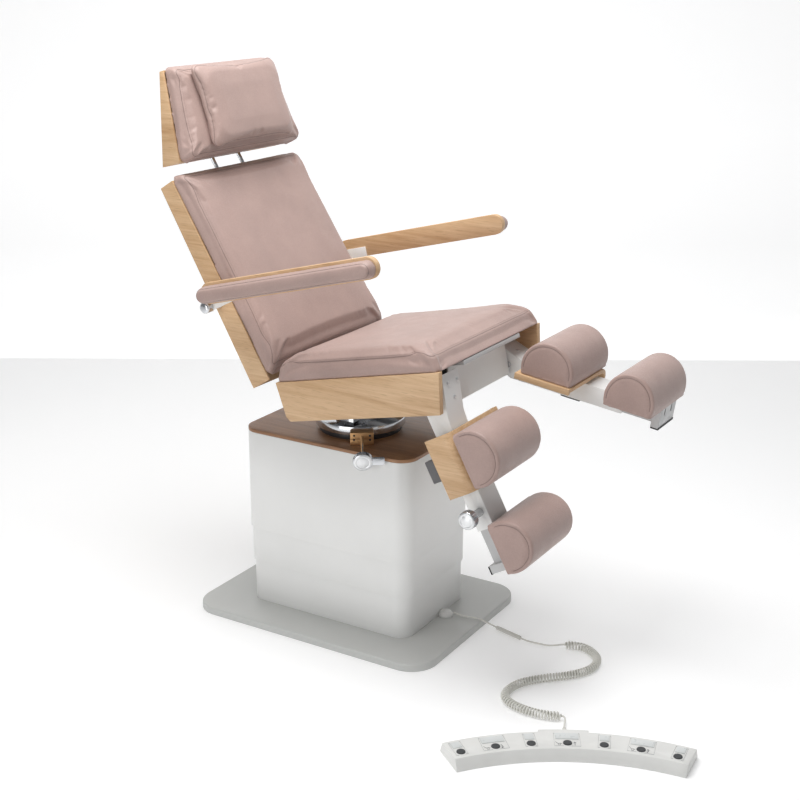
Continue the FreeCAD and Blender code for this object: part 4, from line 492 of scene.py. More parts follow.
# Meshes made from the CAD nodes
WELD = 0.00001


def merged_copy(node):
    """Bmesh of a CAD node with its loose triangles joined."""
    bm = bmesh.new()
    bm.from_mesh(frame["nodes"][node].data)
    bmesh.ops.remove_doubles(bm, verts=bm.verts, dist=WELD)
    return bm


def to_piece(bm, name):
    """New object that takes a bmesh over."""
    mesh = bpy.data.meshes.new(name)
    bm.to_mesh(mesh)
    bm.free()
    return link(name, mesh)


def apply_modifiers(obj):
    """Replace a piece's mesh by what its modifiers make of it."""
    graph = bpy.context.evaluated_depsgraph_get()
    made = bpy.data.meshes.new_from_object(obj.evaluated_get(graph))
    old = obj.data
    obj.modifiers.clear()
    obj.data = made
    bpy.data.meshes.remove(old)
    return obj


FLAT_ANGLE = 1.0
EDGE_ANGLE = 32
EASE_SEGMENTS = 2


def dress(node, material, width, keep=None, name=None):
    """A CAD node's form with its edges eased, in one finish, standing for the node; keep(point) picks a part."""
    bm = merged_copy(node)
    if keep:
        bmesh.ops.delete(bm, geom=[v for v in bm.verts if not keep(v.co)], context="VERTS")
    bmesh.ops.dissolve_limit(bm, angle_limit=math.radians(FLAT_ANGLE), verts=bm.verts, edges=bm.edges)
    obj = to_piece(bm, name or "dressed_" + node)
    bevel = obj.modifiers.new("ease", "BEVEL")
    bevel.width = width
    bevel.segments = EASE_SEGMENTS
    bevel.limit_method = "ANGLE"
    bevel.angle_limit = math.radians(EDGE_ANGLE)
    bevel.use_clamp_overlap = True
    bevel.harden_normals = False
    apply_modifiers(obj)
    smooth(obj, EDGE_ANGLE)
    return finish_piece(obj, body_of(node), material, node)


class Tree(NodeTree):
    """Short hand for one geometry node tree with named inputs."""

    KINDS = {float: "NodeSocketFloat", int: "NodeSocketInt", bpy.types.Material: "NodeSocketMaterial"}

    def __init__(self, name, **inputs):
        self.group = bpy.data.node_groups.new(name, "GeometryNodeTree")
        super().__init__(self.group)
        self.given = {}
        face = self.group.interface
        face.new_socket(name="Geometry", in_out="INPUT", socket_type="NodeSocketGeometry")
        for key, value in inputs.items():
            kind = next(socket for type_, socket in self.KINDS.items() if isinstance(value, type_))
            self.given[face.new_socket(name=key, in_out="INPUT", socket_type=kind).identifier] = value
        face.new_socket(name="Geometry", in_out="OUTPUT", socket_type="NodeSocketGeometry")
        self.start = self.nodes.new("NodeGroupInput").outputs
        self.end = self.nodes.new("NodeGroupOutput").inputs

    def finish(self, instances):
        """Realize the copies and give them the tree's material."""
        real = self.add("GeometryNodeRealizeInstances", {"Geometry": instances}).outputs["Geometry"]
        painted = self.add("GeometryNodeSetMaterial", {"Geometry": real, "Material": self.start["Material"]})
        self.links.new(painted.outputs["Geometry"], self.end["Geometry"])

    def grow(self, obj):
        """Run the tree on an object and keep the result as its mesh."""
        modifier = obj.modifiers.new("grow", "NODES")
        modifier.node_group = self.group
        for identifier, value in self.given.items():
            modifier[identifier] = value
        return apply_modifiers(obj)


THREAD_ANGLE = 60
THREAD_SIDES = 6


def points_mesh(name, points, chain=False, closed=False):
    """Bare points, or points joined into a line, for a tree to work on."""
    edges = [(i, i + 1) for i in range(len(points) - 1)] if chain else []
    if chain and closed:
        edges.append((len(points) - 1, 0))
    mesh = bpy.data.meshes.new(name)
    mesh.from_pydata([tuple(p) for p in points], edges, [])
    return link(name, mesh)


def stitched_row(name, line, closed, pitch, length, radius, material):
    """A row of stitches along a line: short threads, one a pitch."""
    tree = Tree("stitches", Pitch=pitch, Length=length, Radius=radius, Material=material)
    path = tree.add("GeometryNodeMeshToCurve", {"Mesh": tree.start["Geometry"]}).outputs["Curve"]
    spots = tree.add("GeometryNodeCurveToPoints", {"Curve": path, "Length": tree.start["Pitch"]}, mode="LENGTH")
    thread = tree.add("GeometryNodeMeshCylinder", {"Vertices": THREAD_SIDES, "Radius": tree.start["Radius"],
                                                   "Depth": tree.start["Length"]})
    row = tree.add("GeometryNodeInstanceOnPoints", {"Points": spots.outputs["Points"],
                                                    "Instance": thread.outputs["Mesh"],
                                                    "Rotation": spots.outputs["Rotation"]})
    tree.finish(row.outputs["Instances"])
    return smooth(tree.grow(points_mesh(name, line, True, closed)), THREAD_ANGLE)


def welt(name, line, closed, radius, material):
    """A fine round seam along a line."""
    tree = Tree("welt", Radius=radius, Material=material)
    path = tree.add("GeometryNodeMeshToCurve", {"Mesh": tree.start["Geometry"]}).outputs["Curve"]
    ring = tree.add("GeometryNodeCurvePrimitiveCircle", {"Resolution": THREAD_SIDES, "Radius": tree.start["Radius"]})
    tube = tree.add("GeometryNodeCurveToMesh", {"Curve": path, "Profile Curve": ring.outputs["Curve"],
                                                "Fill Caps": True})
    tree.finish(tube.outputs["Mesh"])
    return smooth(tree.grow(points_mesh(name, line, True, closed)), THREAD_ANGLE)


# Sewing: lines found by rays on the padded mesh, a groove pressed along them, a welt and stitches laid in it
REACH = 0.7
SEAM_STEP = 0.004
SEAM_R = 0.0008
GROOVE_DEPTH = 0.0014
GROOVE_WIDTH = 0.0042
STITCH_PITCH = 0.0052
STITCH_LENGTH = 0.0036
STITCH_R = 0.00042


def skin(obj):
    """Search tree of a piece's faces."""
    mesh = obj.data
    return BVHTree.FromPolygons([v.co for v in mesh.vertices], [p.vertices[:] for p in mesh.polygons])


class Rim:
    """The shoulder between a cushion's face and its side, seen from a middle point in the cushion's frame."""

    def __init__(self, place, across, along, out, middle, inset, sweep=(0.0, 360.0), count=500):
        turn = place.to_3x3()
        self.across, self.along, self.out = (turn @ Vector(axis) for axis in (across, along, out))
        self.middle = place @ Vector(middle)
        self.inset = inset
        self.sweep = sweep
        self.count = count

    @property
    def closed(self):
        return self.sweep[1] - self.sweep[0] >= 360.0

    def trace(self, tree, lean):
        """Points of the skin along the shoulder; lean 0 lies on the face, 90 on the side."""
        low, high = self.sweep
        lean = math.radians(lean)
        line = []
        for i in range(self.count + (not self.closed)):
            angle = math.radians(low + (high - low) * i / self.count)
            ray = self.across * math.cos(angle) + self.along * math.sin(angle)
            hit, normal = tree.ray_cast(self.middle + ray * REACH, -ray)[:2]
            if hit is None:
                continue
            side = (normal - self.out * normal.dot(self.out)).normalized()
            under = hit - side * self.inset
            top = tree.ray_cast(under + self.out * REACH, -self.out)[0]
            if top is None:
                continue
            target = top - self.out * self.inset
            aim = side * math.sin(lean) + self.out * math.cos(lean)
            hit = tree.ray_cast(target + aim * REACH, -aim)[0]
            if hit is not None:
                line.append(hit)
        return even_line(line, self.closed)


def even_line(line, closed, rounds=4):
    """Line with its points a step apart and its jitter evened out."""
    if closed:
        line = line + [line[0]]
    reach = [0.0]
    for a, b in zip(line, line[1:]):
        reach.append(reach[-1] + (b - a).length)
    count = max(int(reach[-1] / SEAM_STEP), 4)
    spaced = []
    k = 0
    for i in range(count + (not closed)):
        distance = reach[-1] * i / count
        while k < len(line) - 2 and reach[k + 1] < distance:
            k += 1
        share = (distance - reach[k]) / max(reach[k + 1] - reach[k], 1e-9)
        spaced.append(line[k].lerp(line[k + 1], share))
    for _ in range(rounds):
        before = spaced[-1:] + spaced[:-1]
        after = spaced[1:] + spaced[:1]
        evened = [(a + b * 2 + c) / 4 for a, b, c in zip(before, spaced, after)]
        if not closed:
            evened[0], evened[-1] = spaced[0], spaced[-1]
        spaced = evened
    return spaced


def press_groove(obj, line, depth, width):
    """Draw the skin in along a line."""
    near = KDTree(len(line))
    for i, point in enumerate(line):
        near.insert(point, i)
    near.balance()
    mesh = obj.data
    normals = [v.normal.copy() for v in mesh.vertices]
    places = [v.co.copy() for v in mesh.vertices]
    for k, (place, normal) in enumerate(zip(places, normals)):
        distance = near.find(place)[2]
        if distance < 3 * width:
            places[k] = place - normal * depth * math.exp(-(distance / width) ** 2)
    mesh.vertices.foreach_set("co", [c for place in places for c in place])
    mesh.update()


def sew(obj, rims, body):
    """Press each rim's seam into a cushion, and lay its welt and, where asked, its row of stitches."""
    for number, (rim, lean, stitch_lean) in enumerate(rims):
        line = rim.trace(skin(obj), lean)
        press_groove(obj, line, GROOVE_DEPTH, GROOVE_WIDTH)
        tree = skin(obj)
        seated = [tree.find_nearest(point)[0] for point in line]
        name = "seam_%d_of_%s" % (number + 1, obj.name)
        seam = welt(name, seated, rim.closed, SEAM_R, MATERIALS["seam"])
        finish_piece(seam, body, MATERIALS["seam"])
        if stitch_lean is not None:
            row = stitched_row("stitches_%d_of_%s" % (number + 1, obj.name), rim.trace(tree, stitch_lean),
                               rim.closed, STITCH_PITCH, STITCH_LENGTH, STITCH_R, MATERIALS["stitch"])
            finish_piece(row, body, MATERIALS["stitch"])


# Padded pieces: the CAD form is shrunk a little and blown up as cloth, held where it is backed
VOXEL = 0.0055
FINE_VOXEL = 0.0045
SHRINK = 0.0025
PRESSURE = 4.0
CLOTH_FRAMES = 20
CLOTH = {"quality": 4, "mass": 0.35, "tension_stiffness": 18, "compression_stiffness": 12, "shear_stiffness": 8,
         "bending_stiffness": 2.5}


def cushion(node, held, swell, rims, voxel):
    """Upholstered cushion: held(point) says where the cloth is fixed to its board, swell caps its travel."""
    bm = merged_copy(node)
    obj = to_piece(bm, "padded_" + node)
    remesh = obj.modifiers.new("even", "REMESH")
    remesh.mode = "VOXEL"
    remesh.voxel_size = voxel
    apply_modifiers(obj)
    mesh = obj.data
    bm = bmesh.new()
    bm.from_mesh(mesh)
    bmesh.ops.smooth_vert(bm, verts=bm.verts, factor=0.5, use_axis_x=True, use_axis_y=True, use_axis_z=True)
    bm.normal_update()
    moves = [(vert, vert.normal * SHRINK) for vert in bm.verts if not held(vert.co)]
    for vert, move in moves:
        vert.co -= move
    bm.to_mesh(mesh)
    bm.free()
    start = [v.co.copy() for v in mesh.vertices]
    group = obj.vertex_groups.new(name="held")
    group.add([v.index for v in mesh.vertices if held(v.co)], 1.0, "REPLACE")
    cloth = obj.modifiers.new("swell", "CLOTH")
    settings = cloth.settings
    for key, value in CLOTH.items():
        setattr(settings, key, value)
    settings.use_pressure = True
    settings.uniform_pressure_force = PRESSURE
    settings.vertex_group_mass = "held"
    settings.effector_weights.gravity = 0
    cloth.collision_settings.use_collision = False
    cloth.collision_settings.use_self_collision = False
    scene = bpy.context.scene
    for step in range(1, CLOTH_FRAMES + 1):
        scene.frame_set(step)
    apply_modifiers(obj)
    mesh = obj.data
    scene.frame_set(1)
    for vert, before in zip(mesh.vertices, start):
        travel = vert.co - before
        if travel.length > swell:
            vert.co = before + travel.normalized() * swell
    finer = obj.modifiers.new("finer", "SUBSURF")
    finer.levels = 1
    finer.render_levels = 1
    apply_modifiers(obj)
    body = body_of(node)
    sew(obj, rims, body)
    smooth(obj, 180)
    finish_piece(obj, body, MATERIALS["rose"], node)


INTO_SEAT = SEAT.inverted()
INTO_BACK = BACK.inverted()
INTO_HEAD = HEAD.inverted()
SEAT_BOTTOM = 0.092
HELD_DEPTH = 0.004
SHELL_FRONT_Y = (-0.0078, -0.0015)
SHELL_Z = (0.0135, 0.617)
HEAD_FRONT_Y = -0.051
PILLOW_HELD_Y = -0.092
ACROSS, ALONG_Y, ALONG_Z = (1, 0, 0), (0, 1, 0), (0, 0, 1)
FORWARD = (0, -1, 0)


def shell_front(z):
    """Place of the back shell's front face at a height."""
    share = (z - SHELL_Z[0]) / (SHELL_Z[1] - SHELL_Z[0])
    return SHELL_FRONT_Y[0] + share * (SHELL_FRONT_Y[1] - SHELL_FRONT_Y[0])


def on_back_board(point):
    local = INTO_BACK @ point
    return local.y > shell_front(local.z) - HELD_DEPTH


# Held test, rim, the cap on the cloth's travel, the lean of the seam and of its stitches, and the voxel
CUSHIONS = {
    "seat_cushion": (lambda p: (INTO_SEAT @ p).z < SEAT_BOTTOM + HELD_DEPTH,
                     Rim(SEAT, ACROSS, ALONG_Y, ALONG_Z, (0, -0.19, 0.118), 0.018), 0.009, 50, 28, VOXEL),
    "back_cushion": (on_back_board,
                     Rim(BACK, ACROSS, ALONG_Z, FORWARD, (0, -0.026, 0.33), 0.018), 0.008, 45, 22, VOXEL),
    "head_cushion": (lambda p: (INTO_HEAD @ p).y > HEAD_FRONT_Y - HELD_DEPTH,
                     Rim(HEAD, ACROSS, ALONG_Z, FORWARD, (0, -0.076, 0.12), 0.018), 0.006, 45, 22, VOXEL),
    "head_pillow": (lambda p: (INTO_HEAD @ p).y > PILLOW_HELD_Y,
                    Rim(HEAD, ACROSS, ALONG_Z, FORWARD, (0, -0.122, 0.127), 0.014), 0.008, 88, None, FINE_VOXEL),
}
for node, (held, rim, swell, lean, stitch_lean, voxel) in CUSHIONS.items():
    cushion(node, held, swell, [(rim, lean, stitch_lean)], voxel)

ROLL_BASES = {"upper": 0.020, "lower": 0.006}
ROLL_MIDDLES = {"upper": 0.165, "lower": 0.405}
ROLL_ENDS = {1: 0.280, -1: 0.056}
ROLL_CAP_INSET = 0.011
ROLL_CAP_HEIGHT = 0.03
ROLL_CAP_SWEEP = (-8, 188)
ROLL_CAP_RAYS = 160
ROLL_CAP_LEAN = 8
ROLL_SWELL = 0.004
ARM_PAD_START = 0.346
ARM_PAD_MIDDLE = (0.362, -0.287, 0.035)
ARM_PAD_INSET = 0.012
ARM_PAD_RAYS = 1200
ARM_PAD_LEAN = 60
ARM_PAD_SWELL = 0.003
for side in SIDES:
    leg = leg_frame(side)
    into_leg = leg.inverted()
    for level, base in ROLL_BASES.items():
        floor = base + RAIL_OFFSET + HELD_DEPTH
        caps = []
        for way, x in ROLL_ENDS.items():
            middle = leg_point(x, ROLL_MIDDLES[level], base + ROLL_CAP_HEIGHT)
            cap = Rim(leg, FORWARD, ALONG_Z, (way, 0, 0), middle, ROLL_CAP_INSET, ROLL_CAP_SWEEP, ROLL_CAP_RAYS)
            caps.append((cap, ROLL_CAP_LEAN, None))
        cushion(side + "_leg_" + level + "_cushion", lambda p: (into_leg @ p).z < floor, ROLL_SWELL, caps, FINE_VOXEL)
    arm = arm_frame(side)
    into_arm = arm.inverted()
    pad_rim = Rim(arm, ALONG_Y, ALONG_Z, ACROSS, ARM_PAD_MIDDLE, ARM_PAD_INSET, count=ARM_PAD_RAYS)
    cushion(side + "_arm_pad", lambda p: (into_arm @ p).x < ARM_PAD_START + HELD_DEPTH, ARM_PAD_SWELL,
            [(pad_rim, ARM_PAD_LEAN, None)], FINE_VOXEL)


# Rigid pieces: the CAD forms with eased edges, in their finishes
DRESSED = (
    ("base_plate", "base_paint", "plate", 0.0008),
    ("cover_lower", "cover_paint", "cover", 0.0008),
    ("cover_middle", "cover_paint", "cover", 0.0008),
    ("cover_upper", "cover_paint", "cover", 0.0008),
    ("column_outer", "column_alloy", "alloy", 0.0006),
    ("column_middle", "column_alloy", "alloy", 0.0006),
    ("column_inner", "column_alloy", "alloy", 0.0006),
    ("column_head_plate", "frame_paint", "frame", 0.0006),
    # the top panel's darker oak is painted shade from the seat above
    ("column_top_panel", "dark_veneer", "top_panel", 0.0012),
    ("lift_drive", "drive_plastic", "drive", 0.0006),
    ("swivel_clamp", "clamp_metal", "clamp", 0.0008),
    ("swivel_turntable", "chrome_trim", "chrome", 0.0010),
    ("swivel_lock_knob", "chrome_trim", "chrome", 0.0005),
    ("seat_frame", "frame_paint", "frame", 0.0012),
    ("seat_pins", "chrome_trim", "chrome", 0.0003),
    ("seat_side_panels", "oak_veneer", "oak_seat", 0.0010),
    ("seat_front_panel", "leg_paint", "leg_paint", 0.0006),
    ("seat_pan", "frame_paint", "leg_tube", 0.0010),
    ("seat_actuators", "drive_plastic", "drive", 0.0008),
    ("tilt_actuator_rod", "chrome_trim", "chrome", 0.0003),
    ("back_actuator_rod", "chrome_trim", "chrome", 0.0003),
    ("back_frame", "frame_paint", "frame", 0.0008),
    ("back_shell", "oak_veneer", "oak_back", 0.0012),
    ("headrest_rods", "chrome_trim", "chrome", 0.0003),
    ("head_shell", "oak_veneer", "oak_head", 0.0012),
    ("foot_control_casing", "control_plastic", "control", 0.0010),
    ("foot_control_panels", "control_panel", "control_panel", 0.0004),
    ("cable_outlet", "control_plastic", "control", 0.0006),
)
SIDED = (
    ("arm_bracket", "leg_paint", "leg_paint", 0.0008),
    ("arm_board", "oak_veneer", "oak_arm", 0.0010),
    ("leg_rail", "leg_paint", "leg_paint", 0.0012),
    ("leg_carrier", "oak_veneer", "oak_{side}_leg", 0.0010),
    ("leg_inner_rail", "leg_tube_steel", "leg_tube", 0.0010),
    ("leg_lock_knob", "chrome_trim", "chrome", 0.0005),
)
BUTTONS = 7
RELIEF_START = -0.6
for node, slot, finish, width in DRESSED:
    dress(node, MATERIALS[finish], width)
for side in SIDES:
    for part, slot, finish, width in SIDED:
        dress(side + "_" + part, MATERIALS[finish.format(side=side)], width)
for number in range(1, BUTTONS + 1):
    dress("foot_control_button_%d" % number, MATERIALS["button"], 0.0006)
lead_sleeve = dress("cord_sleeve", MATERIALS["sleeve"], 0.0004, keep=lambda p: p.y > RELIEF_START,
                    name="lead_sleeve")
strain_relief = dress("cord_sleeve", MATERIALS["sleeve"], 0.0004,
                      keep=lambda p: p.y < RELIEF_START, name="strain_relief")


# Small fittings, each laid out in the frame of what carries it
FITTING_ANGLE = 40
ROUND_SEGMENTS = 64
SCREW_SEGMENTS = 24
KNURL_ANGLE = 30
BLOCK_SEGMENTS = 3


def disc_solid(name, place, profile, segments=ROUND_SEGMENTS):
    """Solid turned about X of a frame from (radius, distance) pairs, open profile from axis to axis."""
    bm = bmesh.new()
    rings = []
    for radius, distance in profile:
        if radius == 0:
            rings.append([bm.verts.new(place @ Vector((distance, 0, 0)))])
            continue
        ring = []
        for k in range(segments):
            angle = 2 * math.pi * k / segments
            point = Vector((distance, radius * math.cos(angle), radius * math.sin(angle)))
            ring.append(bm.verts.new(place @ point))
        rings.append(ring)
    for low, high in zip(rings, rings[1:]):
        for k in range(segments):
            after = (k + 1) % segments
            corners = [low[k % len(low)], low[after % len(low)], high[after % len(high)], high[k % len(high)]]
            corners = [v for i, v in enumerate(corners) if v not in corners[:i]]
            if len(corners) > 2:
                bm.faces.new(corners)
    bmesh.ops.recalc_face_normals(bm, faces=bm.faces)
    return smooth(to_piece(bm, name), FITTING_ANGLE)


def block(name, place, low, high, bevel):
    """Box between two corners of a frame, with eased edges."""
    bm = bmesh.new()
    middle = (Vector(low) + Vector(high)) / 2
    size = Vector(high) - Vector(low)
    bmesh.ops.create_cube(bm, size=1.0, matrix=place @ Matrix.Translation(middle) @ Matrix.Diagonal((*size, 1.0)))
    bmesh.ops.recalc_face_normals(bm, faces=bm.faces)
    obj = to_piece(bm, name)
    ease = obj.modifiers.new("ease", "BEVEL")
    ease.width = bevel
    ease.segments = BLOCK_SEGMENTS
    return smooth(apply_modifiers(obj), FITTING_ANGLE)


def ribs(name, place, count, radius, rib, material):
    """Knurl of fine ribs round X of a frame; rib is its length along the axis, its width and its height."""
    length, width, height = rib
    tree = Tree("ribs", Count=count, Radius=radius, Length=length, Width=width, Height=height, Material=material)
    start = tree.start
    circle = tree.add("GeometryNodeMeshCircle", {"Vertices": start["Count"], "Radius": start["Radius"]})
    size = tree.add("ShaderNodeCombineXYZ", {"X": start["Height"], "Y": start["Width"], "Z": start["Length"]})
    cube = tree.add("GeometryNodeMeshCube", {"Size": size.outputs["Vector"]})
    spot = tree.add("GeometryNodeInputPosition").outputs["Position"]
    turn = tree.add("FunctionNodeAlignRotationToVector", {"Vector": spot}, axis="X")
    row = tree.add("GeometryNodeInstanceOnPoints", {"Points": circle.outputs["Mesh"],
                                                    "Instance": cube.outputs["Mesh"],
                                                    "Rotation": turn.outputs["Rotation"]})
    tree.finish(row.outputs["Instances"])
    obj = tree.grow(points_mesh(name, [(0, 0, 0)]))
    obj.data.transform(place @ Matrix.Rotation(math.radians(90), 4, "Y"))
    return smooth(obj, KNURL_ANGLE)


def screws(name, place, points, radius, height, material):
    """Button-head screws: a domed head on each point of a frame, proud along its X."""
    tree = Tree("screws", Radius=radius, Height=height, Material=material)
    ball = tree.add("GeometryNodeMeshUVSphere", {"Segments": SCREW_SEGMENTS, "Rings": SCREW_SEGMENTS // 2,
                                                     "Radius": tree.start["Radius"]})
    flat = tree.add("ShaderNodeMath", {0: tree.start["Height"], 1: tree.start["Radius"]}, operation="DIVIDE")
    squash = tree.add("ShaderNodeCombineXYZ", {"X": flat.outputs[0], "Y": 1.0, "Z": 1.0})
    row = tree.add("GeometryNodeInstanceOnPoints", {"Points": tree.start["Geometry"],
                                                    "Instance": ball.outputs["Mesh"],
                                                    "Scale": squash.outputs["Vector"]})
    tree.finish(row.outputs["Instances"])
    obj = tree.grow(points_mesh(name, points))
    obj.data.transform(place)
    return smooth(obj, FITTING_ANGLE)


KNURL_COUNT = 60
KNURL_SHARE = 0.62
KNURL_MIDDLE_SHARE = 0.45
KNURL_WIDTH = 0.0011
KNURL_HEIGHT = 0.0009
KNOB_FACE = ((0, 0.0016), (0.55, 0.0016), (0.60, 0.0007), (0.66, 0.0007), (0.72, 0.0018), (0.86, 0.0014),
             (0.93, -0.0002), (0, -0.0012))


def knob_trim(name, place, radius, thick, body):
    """Knurled skirt, and a turned face with a pale centre; KNOB_FACE gives shares of the radius and heights."""
    rib = (thick * KNURL_SHARE, KNURL_WIDTH, KNURL_HEIGHT)
    skirt = ribs(name + "_knurl", place @ Matrix.Translation((thick * KNURL_MIDDLE_SHARE, 0, 0)), KNURL_COUNT, radius,
                 rib, MATERIALS["chrome"])
    finish_piece(skirt, body, MATERIALS["chrome"])
    cap = disc_solid(name + "_face", place, [(radius * share, thick + proud) for share, proud in KNOB_FACE])
    finish_piece(cap, body, MATERIALS["satin"])


# Swivel lock: the clamp's covering, its screws, and the trim of the knob
SWIVEL = Vector((0, -0.014, 0))
LOCK_AZIMUTH = 214.0
LOCK_DROP = 14.0
LOCK_POINT = (0.150, 0.588)
LOCK_KNOB_DISTANCE = 0.267
LOCK_KNOB_R = 0.027
LOCK_KNOB_THICK = 0.016
LOCK_FOOT_R = (0.127, 0.162)
LOCK_BLOCK_R = (0.131, 0.162)
LOCK_BLOCK_HALF = 0.032
LOCK_BLOCK_Z = (0.5625, 0.578, 0.598)
COVERING = 0.0006
TRIM_BEVEL = 0.001
CLAMP_SCREW_Y = (-0.022, 0.022)
CLAMP_SCREW_Z = (0.578, 0.590)
CLAMP_SCREW_R = 0.0032
CLAMP_SCREW_HEIGHT = 0.0018
lock = Matrix.Translation(SWIVEL) @ Matrix.Rotation(math.radians(LOCK_AZIMUTH), 4, "Z")
knob_drop = (LOCK_KNOB_DISTANCE - LOCK_POINT[0]) * math.tan(math.radians(LOCK_DROP))
knob_place = lock @ Matrix.Translation((LOCK_KNOB_DISTANCE, 0, LOCK_POINT[1] - knob_drop))
knob_place = knob_place @ Matrix.Rotation(math.radians(LOCK_DROP), 4, "Y")
knob_trim("swivel_lock", knob_place, LOCK_KNOB_R, LOCK_KNOB_THICK, body_of("swivel_lock_knob"))
clamp_body = body_of("swivel_clamp")
half = LOCK_BLOCK_HALF + COVERING
foot = block("clamp_foot_cover", lock, (LOCK_FOOT_R[0], -half, LOCK_BLOCK_Z[0]),
             (LOCK_FOOT_R[1] + COVERING, half, LOCK_BLOCK_Z[1] + COVERING), TRIM_BEVEL)
finish_piece(foot, clamp_body, MATERIALS["brass"])
top = block("clamp_block_cover", lock, (LOCK_BLOCK_R[0] - COVERING, -half, LOCK_BLOCK_Z[1]),
            (LOCK_BLOCK_R[1] + COVERING, half, LOCK_BLOCK_Z[2] + COVERING), TRIM_BEVEL)
finish_piece(top, clamp_body, MATERIALS["brass"])
spots = [(LOCK_BLOCK_R[1] + COVERING, y, z) for y in CLAMP_SCREW_Y for z in CLAMP_SCREW_Z]
heads = screws("clamp_screws", lock, spots, CLAMP_SCREW_R, CLAMP_SCREW_HEIGHT, MATERIALS["black"])
finish_piece(heads, clamp_body, MATERIALS["black"])

# Trim of the legs and arms, in their frames: ranges across, along the leg and out, as leg_point takes them
LEG_KNOB = (0.300, 0.302, -0.021)
LEG_KNOB_R = 0.024
LEG_KNOB_THICK = 0.024
RELEASE_BAR = ((0.262, 0.284), (0.130, 0.191), (-0.096, -0.066))
RELEASE_BAR_BEVEL = 0.003
END_TRIM = ((0.152, 0.264), (0.4425, 0.4655), (-0.0595, -0.0535))
LINK_SCREWS = ((0.178, -0.034, 0.033), (0.202, 0.003, 0.0197), (0.226, -0.034, 0.033))
LINK_SCREW_R = 0.0055
LINK_SCREW_HEIGHT = 0.0022
HUB_CAP = [(0, 0.3515), (0.0085, 0.3512), (0.0130, 0.3498), (0.0158, 0.3465), (0.0164, 0.3420), (0.0164, 0.3300),
           (0, 0.3300)]
COLLAR = [(0.0062, -0.001), (0.0105, -0.001), (0.0105, 0.0045), (0.0085, 0.0065), (0.0062, 0.0065)]
COLLAR_X = (-0.060, 0.060)
COLLAR_SEGMENTS = 40
X_UP = Matrix.Rotation(math.radians(-90), 4, "Y")


def leg_box(name, leg, x, a, n, bevel):
    """Box between two places across, along and out of a leg."""
    low = leg_point(x[0], a[1], n[0])
    high = leg_point(x[1], a[0], n[1])
    return block(name, leg, low, high, bevel)


for side in SIDES:
    leg = leg_frame(side)
    leg_body = body_of(side + "_leg_rail")
    knob_trim(side + "_leg_lock", leg @ Matrix.Translation(leg_point(*LEG_KNOB)), LEG_KNOB_R, LEG_KNOB_THICK,
              body_of(side + "_leg_lock_knob"))
    bar = leg_box(side + "_release_bar", leg, *RELEASE_BAR, RELEASE_BAR_BEVEL)
    finish_piece(bar, leg_body, MATERIALS["dark_grey"])
    trim = leg_box(side + "_end_trim", leg, *END_TRIM, TRIM_BEVEL)
    finish_piece(trim, body_of(side + "_leg_inner_rail"), MATERIALS["black"])
    for number, spot in enumerate(LINK_SCREWS):
        place = leg @ Matrix.Translation(leg_point(*spot)) @ X_UP
        head = screws("%s_link_screw_%d" % (side, number + 1), place, [(0, 0, 0)], LINK_SCREW_R, LINK_SCREW_HEIGHT,
                      MATERIALS["satin"])
        finish_piece(head, leg_body, MATERIALS["satin"])
    cap = disc_solid(side + "_hub_cap", arm_frame(side), HUB_CAP)
    finish_piece(cap, body_of(side + "_arm_bracket"), MATERIALS["chrome"])
for number, x in enumerate(COLLAR_X):
    place = BACK @ Matrix.Translation((x, HEAD_AXIS.y, SHELL_Z[1])) @ X_UP
    collar = disc_solid("rod_collar_%d" % (number + 1), place, COLLAR, COLLAR_SEGMENTS)
    finish_piece(collar, body_of("back_shell"), MATERIALS["dark_chrome"])


# Foot control: hairlines round the label plates, and plain signs beside their buttons
CONTROL_CENTRE = Vector((-1.049, -1.234, 0))
CONTROL_RADIUS = 0.669
BUTTON_MIDDLE = 29.2
BUTTON_PITCH = 7.25
SIGN_TOP = 0.0313
SIGN_R = 0.00045
ARROW_R = SIGN_R * 1.6
BARB = (0.004, 0.0028)
LABEL_R = 0.0005
LABEL_HALF = {False: 0.015, True: 0.032}
LABEL_DEPTH = (0.022, 0.079)
LABEL_STEPS = 8
CHAIR_SIGN = ((-29, 8), (-24, 0), (-17, 0.5), (-13, -4))
STAND_SIGN = ((-22.5, -1), (-22.5, -7), (-17.5, -7), (-17.5, -1))
ARROWS = {1: ((15, -7), (18, 0), (15, 7)), 3: ((18, -7), (18, 7)), 5: ((15, 7), (18, 0), (15, -7))}
SIGN_MIDDLE = 0.033


def control_spot(angle, along, outward):
    """Point on the control's top: along its arc and outward from the inner edge, about a button's angle."""
    radius = CONTROL_RADIUS + outward
    turn = math.radians(angle) + along / radius
    return CONTROL_CENTRE + Vector((radius * math.cos(turn), radius * math.sin(turn), SIGN_TOP))


def sign(name, line, radius, material, closed=False):
    """Printed line, laid on the control's top."""
    obj = welt(name, line, closed, radius, material)
    finish_piece(obj, "root", material)


def sign_line(angle, points):
    """Line from points in millimetres to the right of a button and outward from its middle."""
    return [control_spot(angle, -a * MM, SIGN_MIDDLE + b * MM) for a, b in points]


